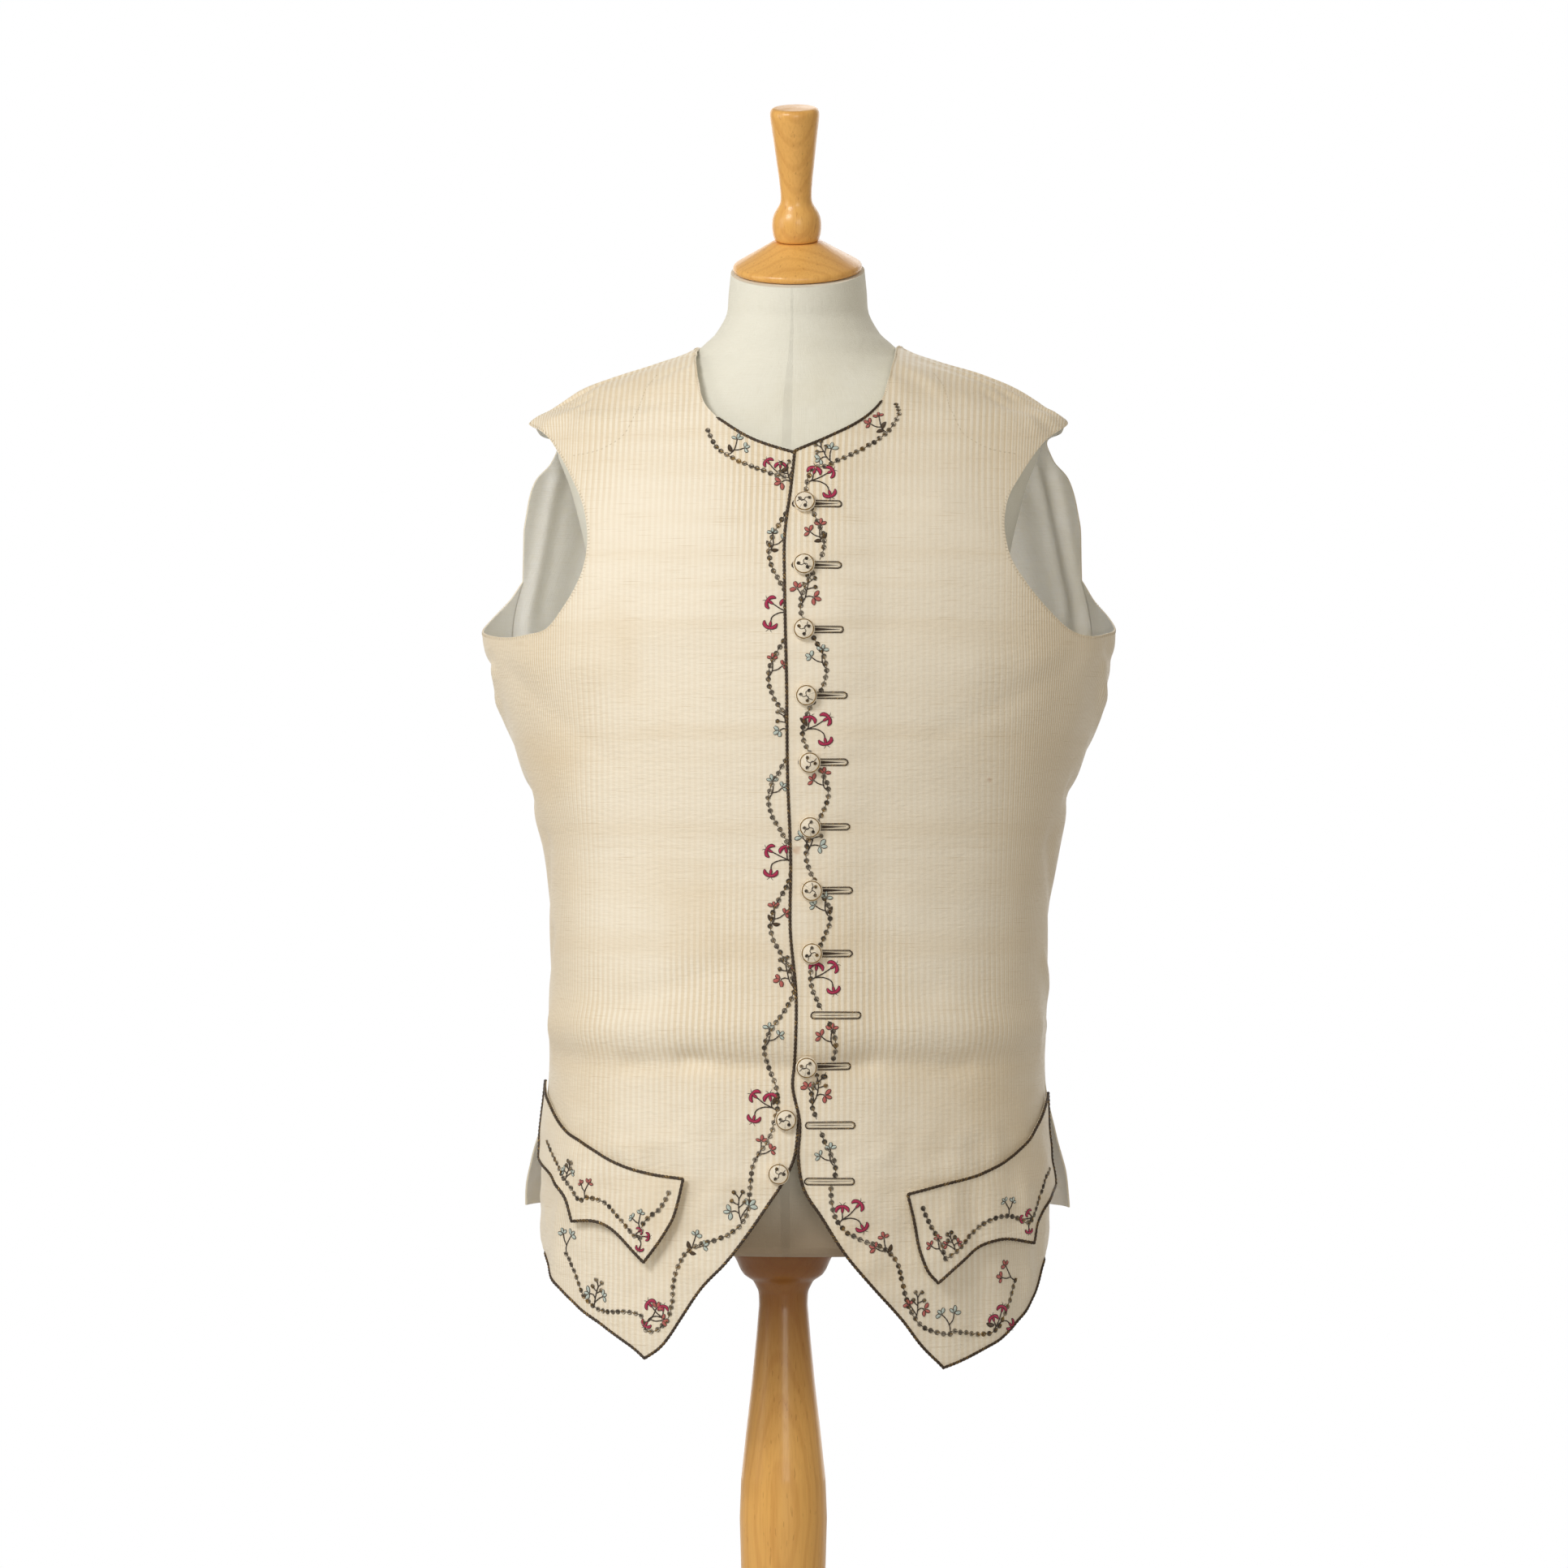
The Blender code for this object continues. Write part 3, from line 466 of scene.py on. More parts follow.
class Panel:
    """A cut of cloth: its outline, wrapped round the figure at a height, with its own wall."""

    def __init__(self, side, loop, height):
        self.side, self.loop, self.height = side, loop, height

    def wrap(self, flat):
        """Points on the made cloth from cloth distance round, rise and lift off its face."""
        rise = flat[:, 1]
        return self.on_mesh(FIGURE.angle_at(self.side, flat[:, 0], rise), rise, flat[:, 2])

    def on_mesh(self, angle, rise, lift):
        base = self.place(angle, rise, np.zeros(len(rise)))
        out = FIGURE.outward(self.side, angle, rise)
        for i, (point, way) in enumerate(zip(base.tolist(), out.tolist())):
            way = Vector(way)
            hit = self.tree.ray_cast(Vector(point) + way * 0.010, -way, 0.020)[0]
            if hit is not None:
                base[i] = hit
        return base + out * lift[:, None]

    def place(self, angle, rise, lift):
        out = FIGURE.outward(self.side, angle, rise)
        height = self.height(self.side, angle, rise) + lift
        return FIGURE.on_ring(self.side, angle, rise) + out * height[:, None]

    def build(self, name, face_material, lining_material, node, slot):
        flat, triangles = filled(self.loop)
        angle, rise = flat[:, 0] / FLAT_RADIUS, flat[:, 1]
        outer = self.place(angle, rise, np.zeros(len(flat)))
        inner = outer - FIGURE.outward(self.side, angle, rise) * CLOTH_WALL
        count, rim = len(flat), len(self.loop)
        faces = triangles + [[count + i for i in triangle[::-1]] for triangle in triangles]
        faces += [[(i + 1) % rim, i, count + i, count + (i + 1) % rim] for i in range(rim)]
        slots = [0] * len(triangles) + [1] * len(triangles) + [0] * rim
        if self.side == WEARERS_RIGHT:
            faces = [face[::-1] for face in faces]
        uv = self.weave_uv(angle, rise)
        piece = add_mesh(name, np.concatenate([outer, inner]), faces,
                         [face_material, lining_material], slots, np.concatenate([uv, uv]))
        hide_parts(node)
        self.tree = BVHTree.FromPolygons([Vector(point) for point in outer.tolist()], triangles)
        corners = outer[np.array(triangles)]
        cross = np.cross(corners[:, 1] - corners[:, 0], corners[:, 2] - corners[:, 0])
        self.area = float(np.linalg.norm(cross, axis=1).sum() / 2)
        self.size = self.cut_size(angle, rise, uv, float(np.ptp(outer[:, 2])))
        return piece

    def cut_size(self, angle, rise, uv, length):
        """Width and length of the cut: a back from its centre seam, a flap along itself."""
        if self.height is back_height:
            centre = FIGURE.girth(self.side, np.full(len(rise), math.pi), rise)
            return float(np.ptp(centre - FIGURE.girth(self.side, angle, rise))), length
        if self.height is flap_height:
            boxes = [np.ptp(turned_by(uv, degrees), axis=0) for degrees in range(-45, 46)]
            return tuple(map(float, min(boxes, key=np.prod)))
        return float(np.ptp(uv[:, 0])), length

    def weave_uv(self, angle, rise):
        """Warp lines hang straight down the front, over the shoulder too."""
        z = FIGURE.read["z"](rise)
        across = FIGURE.reach(self.side, rise) * np.sin(angle)
        girth = FIGURE.girth(self.side, angle, rise)
        wrapped = fade(angle, 0.7, 1.4) * (1 - fade(z, 1.27, 1.34))
        return np.stack([across + wrapped * (girth - across), z], axis=1)


def edges_of(side):
    left = side == WEARERS_LEFT
    edge = by_x(side, OVERLAP_EDGE if left else UNDERLAP_EDGE)
    hem = by_x(side, LEFT_HEM if left else RIGHT_HEM)
    armhole = by_x(side, LEFT_ARMHOLE if left else RIGHT_ARMHOLE)
    return edge, hem, armhole


def front_loop(side):
    edge, hem, armhole = edges_of(side)
    seam = shifted(by_degrees(SIDE_SEAM), -SEAM_HALF_GAP)
    shoulder = shifted(by_degrees(SHOULDER_SEAM), -SHOULDER_HALF_GAP)
    tip = by_degrees([SHOULDER_TIP])
    return outline(
        edge,
        hem,
        hem[-1:] + by_degrees(FRONT_VENT) + seam[:1],
        seam,
        seam[-1:] + by_degrees(UNDERARM) + armhole + tip,
        tip + shoulder[:1],
        shoulder,
        shoulder[-1:] + by_x(side, NECKLINE) + edge[:1],
    )


def back_loop():
    seam = shifted(by_degrees(SIDE_SEAM), SEAM_HALF_GAP)[::-1]
    vent = by_degrees(BACK_VENT)
    shoulder = shifted(by_degrees(SHOULDER_SEAM), SHOULDER_HALF_GAP)[::-1]
    centre = shifted(by_degrees(((180.0, BACK_HEM), BACK_NECKLINE[0])), -SEAM_HALF_GAP)
    return outline(
        seam,
        seam[-1:] + vent,
        [vent[-1], centre[0]],
        centre,
        centre[-1:] + by_degrees(BACK_NECKLINE[1:]) + shoulder[:1],
        shoulder,
        shoulder[-1:] + by_degrees(BACK_ARMHOLE) + seam[:1],
    )


def flap_loop(side, edges):
    top, front, scallops, rear = (by_x(side, edge) for edge in edges)
    return outline(top, front, scallops, rear, [rear[-1], top[0]])


# Materials

def srgb(red, green, blue):
    def linear(value):
        value /= 255
        return value / 12.92 if value <= 0.04045 else ((value + 0.055) / 1.055) ** 2.4

    return (linear(red), linear(green), linear(blue), 1.0)


class Shader:
    """A small helper that builds one procedural material from its nodes."""

    def __init__(self, name, roughness, metallic=0.0, sheen=0.0, coat=0.0):
        self.material = bpy.data.materials.new(name)
        self.material.use_nodes = True
        self.tree = self.material.node_tree
        self.principled = self.tree.nodes["Principled BSDF"]
        self.principled.inputs["Roughness"].default_value = roughness
        self.principled.inputs["Metallic"].default_value = metallic
        self.principled.inputs["Sheen Weight"].default_value = sheen
        self.principled.inputs["Coat Weight"].default_value = coat

    def node(self, kind, **settings):
        made = self.tree.nodes.new(kind)
        for key, value in settings.items():
            setattr(made, key, value)
        return made

    def link(self, source, target):
        if hasattr(source, "links") or hasattr(source, "is_output"):
            self.tree.links.new(source, target)
        else:
            target.default_value = source

    def maths(self, operation, *values, clamp=False):
        made = self.node("ShaderNodeMath", operation=operation, use_clamp=clamp)
        for value, socket in zip(values, made.inputs):
            self.link(value, socket)
        return made.outputs[0]

    def mix(self, amount, first, second):
        made = self.node("ShaderNodeMix", data_type="RGBA", clamp_factor=True)
        self.link(amount, made.inputs[0])
        self.link(first, made.inputs[6])
        self.link(second, made.inputs[7])
        return made.outputs[2]

    def scaled(self, vector, scale):
        made = self.node("ShaderNodeVectorMath", operation="MULTIPLY")
        self.link(vector, made.inputs[0])
        made.inputs[1].default_value = scale
        return made.outputs[0]

    def noise(self, vector, scale, detail=3.0, rough=0.5):
        made = self.node("ShaderNodeTexNoise")
        self.link(vector, made.inputs["Vector"])
        made.inputs["Scale"].default_value = scale
        made.inputs["Detail"].default_value = detail
        made.inputs["Roughness"].default_value = rough
        return made.outputs["Fac"]

    def step(self, value, low, high):
        """0 below low, 1 above high, smooth between."""
        made = self.node("ShaderNodeMapRange", interpolation_type="SMOOTHSTEP")
        self.link(value, made.inputs[0])
        made.inputs[1].default_value = low
        made.inputs[2].default_value = high
        return made.outputs[0]

    def wave(self, value, pitch):
        """0 to 1 and back once every pitch."""
        turned = self.maths("SINE", self.maths("MULTIPLY", value, 2 * math.pi / pitch))
        return self.maths("MULTIPLY_ADD", turned, 0.5, 0.5)

    def flat(self):
        uv = self.node("ShaderNodeUVMap", uv_map="flat").outputs[0]
        parts = self.node("ShaderNodeSeparateXYZ")
        self.link(uv, parts.inputs[0])
        return uv, parts.outputs[0], parts.outputs[1]

    def place(self):
        return self.node("ShaderNodeTexCoord").outputs["Object"]

    def bump(self, height, distance, strength=1.0, under=None):
        made = self.node("ShaderNodeBump")
        made.inputs["Strength"].default_value = strength
        made.inputs["Distance"].default_value = distance
        self.link(height, made.inputs["Height"])
        if under is not None:
            self.link(under, made.inputs["Normal"])
        return made.outputs[0]

    def finish(self, colour, normal=None, roughness=None):
        self.link(colour, self.principled.inputs["Base Color"])
        if normal is not None:
            self.link(normal, self.principled.inputs["Normal"])
        if roughness is not None:
            self.link(roughness, self.principled.inputs["Roughness"])
        return self.material


STAINS = (  # x, y, z, radius, strength: rust and iron spots on the silk
    (0.2360, -0.010, 1.190, 0.0050, 0.95),
    (-0.0960, -0.118, 0.9930, 0.0022, 0.55),
    (0.0070, -0.133, 1.0160, 0.0035, 0.40),
    (0.1480, -0.090, 1.0680, 0.0025, 0.30),
)


def silk(name):
    """Cream silk with fine warp ribs, faint weft bands and slubs, and a little age."""
    s = Shader(name, 0.55, sheen=0.25)
    uv, across, up = s.flat()
    place = s.place()
    drift = s.maths("MULTIPLY_ADD", s.noise(s.scaled(uv, (3.0, 6.0, 1.0)), 1.0, 2.0), 0.004, across)
    rib = s.wave(drift, 0.0045)
    fine = s.wave(drift, 0.00225)
    rib_line = s.step(rib, 0.25, 0.80)
    fine_line = s.step(fine, 0.30, 0.85)
    side = s.step(across, 0.135, 0.185)
    lines = s.maths("MULTIPLY_ADD", side, s.maths("SUBTRACT", fine_line, rib_line), rib_line)
    patch = s.noise(s.scaled(uv, (7.0, 3.0, 1.0)), 1.0, 2.0)
    centre = s.maths("SUBTRACT", 1.0, s.step(s.maths("ABSOLUTE", s.maths("SUBTRACT", up, 1.09)), 0.08, 0.24))
    plain = s.maths("MULTIPLY", centre, s.maths("SUBTRACT", 1.0, s.step(across, 0.12, 0.20)))
    show = s.maths("SUBTRACT", s.step(patch, 0.25, 0.65), s.maths("MULTIPLY", plain, 0.75), clamp=True)
    skirt = s.maths("SUBTRACT", 1.0, s.step(up, 0.80, 0.90))
    on_skirt = s.maths("MULTIPLY_ADD", skirt, -0.45, 1.0)
    show = s.maths("MULTIPLY", s.maths("MULTIPLY_ADD", show, 0.66, 0.16), on_skirt)
    light, stripe = srgb(247, 237, 217), srgb(224, 202, 164)
    shade = s.maths("MULTIPLY", s.maths("SUBTRACT", 1.0, lines), show)
    colour = s.mix(shade, light, stripe)
    band = s.step(s.noise(s.scaled(uv, (1.5, 45.0, 1.0)), 1.0, 3.0), 0.42, 0.68)
    colour = s.mix(s.maths("MULTIPLY", band, 0.30), colour, srgb(229, 211, 180))
    slub = s.step(s.noise(s.scaled(uv, (30.0, 1200.0, 1.0)), 1.0, 1.0), 0.62, 0.78)
    colour = s.mix(s.maths("MULTIPLY", slub, 0.40), colour, srgb(202, 178, 138))
    age = s.step(s.noise(place, 7.0, 4.0, 0.55), 0.50, 0.78)
    colour = s.mix(s.maths("MULTIPLY", age, 0.40), colour, srgb(226, 203, 164))
    for x, y, z, radius, strength in STAINS:
        away = s.node("ShaderNodeVectorMath", operation="DISTANCE")
        s.link(place, away.inputs[0])
        away.inputs[1].default_value = (x, y, z)
        edge = s.maths("MULTIPLY_ADD", s.noise(place, 400.0, 2.0), 0.004, away.outputs["Value"])
        spot = s.maths("SUBTRACT", 1.0, s.step(edge, radius * 0.9, radius * 1.9))
        colour = s.mix(s.maths("MULTIPLY", spot, strength), colour, srgb(176, 108, 30))
    ribs = s.maths("MULTIPLY", lines, show)
    normal = s.bump(ribs, 0.00022, 0.8)
    weave = s.noise(s.scaled(uv, (1400.0, 2300.0, 1.0)), 1.0, 2.0)
    normal = s.bump(weave, 0.00016, 0.7, normal)
    crepe = s.noise(s.scaled(uv, (130.0, 430.0, 1.0)), 1.0, 3.0)
    normal = s.bump(crepe, 0.00065, 0.8, normal)
    rough = s.maths("MULTIPLY_ADD", weave, 0.25, 0.44)
    return s.finish(colour, normal, rough)


def linen(name, tone, shadow, painted_shade_tone=None, lets_light=False):
    """Plain woven cloth with uneven threads; with a third tone, painted shade darkens it towards the bottom.
    """
    s = Shader(name, 0.85, sheen=0.15)
    if lets_light:
        s.principled.inputs["Subsurface Weight"].default_value = 0.75
        s.principled.inputs["Subsurface Radius"].default_value = (1.0, 0.95, 0.85)
        s.principled.inputs["Subsurface Scale"].default_value = 0.004
    uv = s.flat()[0]
    place = s.place()
    warp = s.noise(s.scaled(uv, (1600.0, 60.0, 1.0)), 1.0, 2.0)
    weft = s.noise(s.scaled(uv, (60.0, 1600.0, 1.0)), 1.0, 2.0)
    threads = s.maths("ADD", warp, weft)
    age = s.step(s.noise(place, 9.0, 4.0, 0.6), 0.45, 0.75)
    colour = s.mix(s.maths("MULTIPLY", age, 0.55), tone, shadow)
    colour = s.mix(s.maths("MULTIPLY", s.step(threads, 0.95, 1.25), 0.22), colour, shadow)
    # Painted shade: below z 0.815 the colour darkens towards the third tone, standing in for the shade on the
    # form's cover under the waistcoat's skirts.
    if painted_shade_tone is not None:
        parts = s.node("ShaderNodeSeparateXYZ")
        s.link(place, parts.inputs[0])
        low = s.maths("SUBTRACT", 1.0, s.step(parts.outputs[2], 0.715, 0.815))
        colour = s.mix(s.maths("MULTIPLY", low, 0.80), colour, painted_shade_tone)
    normal = s.bump(threads, 0.00022, 0.8)
    normal = s.bump(s.noise(place, 140.0, 3.0), 0.0008, 0.5, normal)
    return s.finish(colour, normal)


def thread(name, tone, dark, metallic=0.0, pitch=0.0007, roughness=0.5):
    """Satin-stitched thread: fine parallel strands along the second flat direction, with painted shade in the
    grooves between them.
    """
    s = Shader(name, roughness, metallic, sheen=0.2 if metallic == 0.0 else 0.0)
    uv, across, _ = s.flat()
    strands = s.wave(across, pitch)
    tint = s.noise(s.scaled(uv, (2200.0, 300.0, 1.0)), 1.0, 2.0)
    # Painted shade: darker in the grooves between the strands; the tint noise adds random tone.
    groove_shade = s.maths("MULTIPLY", s.maths("SUBTRACT", 1.0, strands), 0.55)
    colour = s.mix(s.maths("MULTIPLY_ADD", tint, 0.5, groove_shade), tone, dark)
    return s.finish(colour, s.bump(strands, 0.00025, 1.0))


def cord_shader(name):
    """Dark silk wound with gilt wire."""
    s = Shader(name, 0.45)
    _, across, up = s.flat()
    glint = s.wave(s.maths("MULTIPLY_ADD", across, 1.0, s.maths("MULTIPLY", up, 1.0)), 0.0022)
    place = s.place()
    worn = s.step(s.noise(place, 260.0, 2.0), 0.50, 0.66)
    mask = s.maths("MULTIPLY", s.step(glint, 0.70, 0.95), worn)
    colour = s.mix(mask, srgb(58, 42, 25), srgb(186, 148, 80))
    s.link(s.maths("MULTIPLY", mask, 0.7), s.principled.inputs["Metallic"])
    return s.finish(colour, s.bump(glint, 0.0002, 0.8))


def spangle_shader(name):
    """Tarnished silver-gilt discs."""
    s = Shader(name, 0.36, 0.65)
    place = s.place()
    tone = s.step(s.noise(place, 120.0, 2.0), 0.35, 0.65)
    colour = s.mix(tone, srgb(84, 76, 66), srgb(158, 148, 132))
    warm = s.step(s.noise(place, 90.0, 1.0), 0.58, 0.72)
    colour = s.mix(s.maths("MULTIPLY", warm, 0.7), colour, srgb(150, 118, 66))
    return s.finish(colour, s.bump(s.noise(place, 2500.0, 2.0), 0.0001, 0.6))


def beech(name):
    """Turned beech under amber varnish, with long grain, growth lines and short ray flecks, and painted shade
    on the pole's top under the form.
    """
    s = Shader(name, 0.34, coat=0.18)
    place = s.place()
    bent = s.noise(s.scaled(place, (9.0, 9.0, 2.6)), 1.0, 3.0)
    parts = s.node("ShaderNodeSeparateXYZ")
    s.link(place, parts.inputs[0])
    ring = s.maths("MULTIPLY_ADD", bent, 0.055, parts.outputs[1])
    growth = s.step(s.wave(ring, 0.0085), 0.62, 1.0)
    grain = s.noise(s.scaled(place, (700.0, 700.0, 22.0)), 1.0, 3.0)
    fleck = s.step(s.noise(s.scaled(place, (520.0, 520.0, 95.0)), 1.0, 1.0), 0.66, 0.76)
    colour = s.mix(s.maths("MULTIPLY", growth, 0.24), srgb(240, 184, 100), srgb(204, 136, 60))
    colour = s.mix(s.maths("MULTIPLY", s.step(grain, 0.40, 0.75), 0.30), colour, srgb(208, 142, 62))
    colour = s.mix(s.maths("MULTIPLY", fleck, 0.40), colour, srgb(180, 116, 52))
    blotch = s.step(s.noise(place, 14.0, 2.0), 0.45, 0.75)
    colour = s.mix(s.maths("MULTIPLY", blotch, 0.30), colour, srgb(198, 138, 66))
    height = parts.outputs[2]
    # Painted shade: the pole's top, just under the form, darkens to a deep brown.
    painted_shade_under_form = s.maths("SUBTRACT", s.step(height, 0.560, 0.705), s.step(height, 0.75, 0.80))
    colour = s.mix(s.maths("MULTIPLY", painted_shade_under_form, 0.85), colour, srgb(120, 62, 12))
    rough = s.maths("MULTIPLY_ADD", grain, 0.18, 0.26)
    return s.finish(colour, s.bump(grain, 0.0001, 0.4), rough)


def floor_shader():
    """Pale grey underfoot, whiter toward the back."""
    s = Shader("pale_floor", 0.9)
    parts = s.node("ShaderNodeSeparateXYZ")
    s.link(s.place(), parts.inputs[0])
    tone = s.maths("MULTIPLY_ADD", s.noise(s.place(), 2.0, 2.0), 0.03, s.step(parts.outputs[1], 0.8, 2.6))
    return s.finish(s.mix(tone, (0.50, 0.50, 0.50, 1.0), (0.95, 0.95, 0.95, 1.0)))


# Needlework: drawn flat in metres and then laid on the cloth

SILKS = ("stem", "crimson", "rose", "aqua", "leaf", "teal", "spangle", "gilt", "cord", "cream")
STEM_RADIUS, OUTLINE_RADIUS, CORD_RADIUS = 0.00046, 0.00030, 0.00110
SPANGLE_RADIUS, SPANGLE_PITCH = 0.00195, 0.0052
CHAIN_NEAR, CHAIN_FAR = 0.0115, 0.0300
BODY, EDGE = 1, -1
SPRIG_LEAN = 22.0


def perpendicular(path):
    along = np.gradient(path, axis=0)
    along /= np.linalg.norm(along, axis=1, keepdims=True) + 1e-12
    return np.stack([-along[:, 1], along[:, 0]], axis=1)


class Needlework:
    """Raised stitching gathered flat, as across, up and lift, and wrapped onto a face at the end."""

    def __init__(self):
        self.points, self.faces, self.slots, self.uv = [], [], [], []
        self.count = 0

    def add(self, points, faces, silk_name, uv):
        self.faces += [[self.count + i for i in face] for face in faces]
        self.slots += [SILKS.index(silk_name)] * len(faces)
        self.points.append(points)
        self.uv.append(uv)
        self.count += len(points)

    def grid(self, rows, silk_name, uv, wrapped=False, capped=False):
        """Faces over rows of points; wrapped joins each row's ends, as round a tube."""
        high, wide = rows.shape[:2]
        faces = []
        for i in range(high - 1):
            for j in range(wide if wrapped else wide - 1):
                k = (j + 1) % wide
                faces.append([i * wide + j, i * wide + k, (i + 1) * wide + k, (i + 1) * wide + j])
        if capped:
            faces += [list(range(wide))[::-1], [(high - 1) * wide + j for j in range(wide)]]
        self.add(rows.reshape(-1, 3), faces, silk_name, uv.reshape(-1, 2))

    def strand(self, path, radius, silk_name, lift=None, sides=6, twist=0.0, taper=0.0):
        path = np.asarray(path, float)
        across, along = perpendicular(path), lengths_along(path)
        turn = 2 * math.pi * np.arange(sides) / sides
        size = radius * np.ones(len(path))
        if taper:
            ends = np.minimum(along, along[-1] - along) / taper
            size *= 0.35 + 0.65 * fade(ends, 0.0, 1.0)
        size = size[:, None] * np.ones(sides)
        if twist:
            size *= 1 + 0.16 * np.cos(2 * turn[None, :] - 2 * math.pi * along[:, None] / twist)
        rows = np.empty((len(path), sides, 3))
        rows[..., :2] = path[:, None, :] + across[:, None, :] * (size * np.cos(turn))[..., None]
        rows[..., 2] = (radius * 0.45 if lift is None else lift) + size * np.sin(turn)
        uv = np.stack(np.broadcast_arrays(turn[None, :] * radius, along[:, None]), axis=-1)
        self.grid(rows[:, ::-1], silk_name, uv[:, ::-1], wrapped=True, capped=True)

    def petal(self, spine, widths, silk_name, height=0.0007, outline=True):
        """A padded shape stitched across a spine, with a dark thread round it."""
        spine = resampled(spine, 0.0007)
        along = lengths_along(spine)
        half = np.interp(along / along[-1], np.linspace(0, 1, len(widths)), widths)
        half = half * (0.96 + 0.08 * np.random.RandomState(self.count % 9973).rand(len(half)))
        sideways = perpendicular(spine)
        steps = np.array([-1.0, -0.6, 0.0, 0.6, 1.0])
        rows = np.empty((len(spine), 5, 3))
        rows[..., :2] = spine[:, None] + sideways[:, None] * (half[:, None] * steps)[..., None]
        rounded = np.sqrt(np.clip(half / max(widths), 0.05, 1.0))
        rows[..., 2] = 0.0001 + rounded[:, None] * height * (1 - np.abs(steps) ** 2.5)
        uv = np.stack([np.broadcast_to(along[:, None], (len(spine), 5)),
                       half[:, None] * steps + self.count * 0.001], axis=-1)
        self.grid(rows[:, ::-1], silk_name, uv[:, ::-1])
        if outline:
            rim = np.concatenate([rows[:, 0, :2], rows[::-1, 4, :2], rows[:1, 0, :2]])
            rim = resampled(rim, 0.0006, smooth=False)
            self.strand(rim, OUTLINE_RADIUS, "stem", lift=0.0002, sides=5)

    def spangle(self, centre, radius=SPANGLE_RADIUS, turn=0.0):
        """A thin cupped disc caught down by a stitch of gilt thread."""
        sides = 12
        angles = turn + 2 * math.pi * np.arange(sides) / sides
        circle = np.stack([np.cos(angles), np.sin(angles)], axis=1)
        rows = np.empty((5, sides, 3))
        for i, (out, lift) in enumerate(((1.0, 0.0001), (1.0, 0.0005), (0.80, 0.0007), (0.45, 0.0003),
                                         (0.20, 0.0003))):
            rows[i, :, :2] = centre + circle * out * radius
            rows[i, :, 2] = lift + 0.0002 * np.cos(angles - 3 * turn) * out
        self.grid(rows, "spangle", rows[..., :2], wrapped=True)
        reach = np.array([math.cos(turn), math.sin(turn)]) * radius * 1.15
        stitch = np.linspace(centre - reach * 0.1, centre + reach, 4)
        silk_name = "gilt" if math.sin(9 * turn) > -0.2 else "stem"
        self.strand(stitch, 0.00030, silk_name, lift=0.0007, sides=5)

    def coil(self, centre, turn=0.0):
        """A berry: wound purl, a small raised spiral."""
        angle = np.linspace(0.0, 4.4 * math.pi, 46)
        out = 0.00035 + 0.00125 * angle / angle[-1]
        path = centre + np.stack([np.cos(angle + turn), np.sin(angle + turn)], axis=1) * out[:, None]
        self.strand(path, 0.00034, "spangle", lift=0.0006, sides=5)
        dot = centre + 0.0006 * np.array([[-1.0, 0.0], [0.0, 0.2], [1.0, 0.0]])
        self.strand(dot, 0.0005, "gilt", lift=0.0006, sides=5)

    def wrap(self, place):
        self.points = [place(np.concatenate(self.points))]
        self.uv = [np.concatenate(self.uv)]

    def build(self, name, mirrored, silks):
        faces = [face[::-1] for face in self.faces] if mirrored else self.faces
        return add_mesh(name, self.points[0], faces, silks, self.slots, self.uv[0])


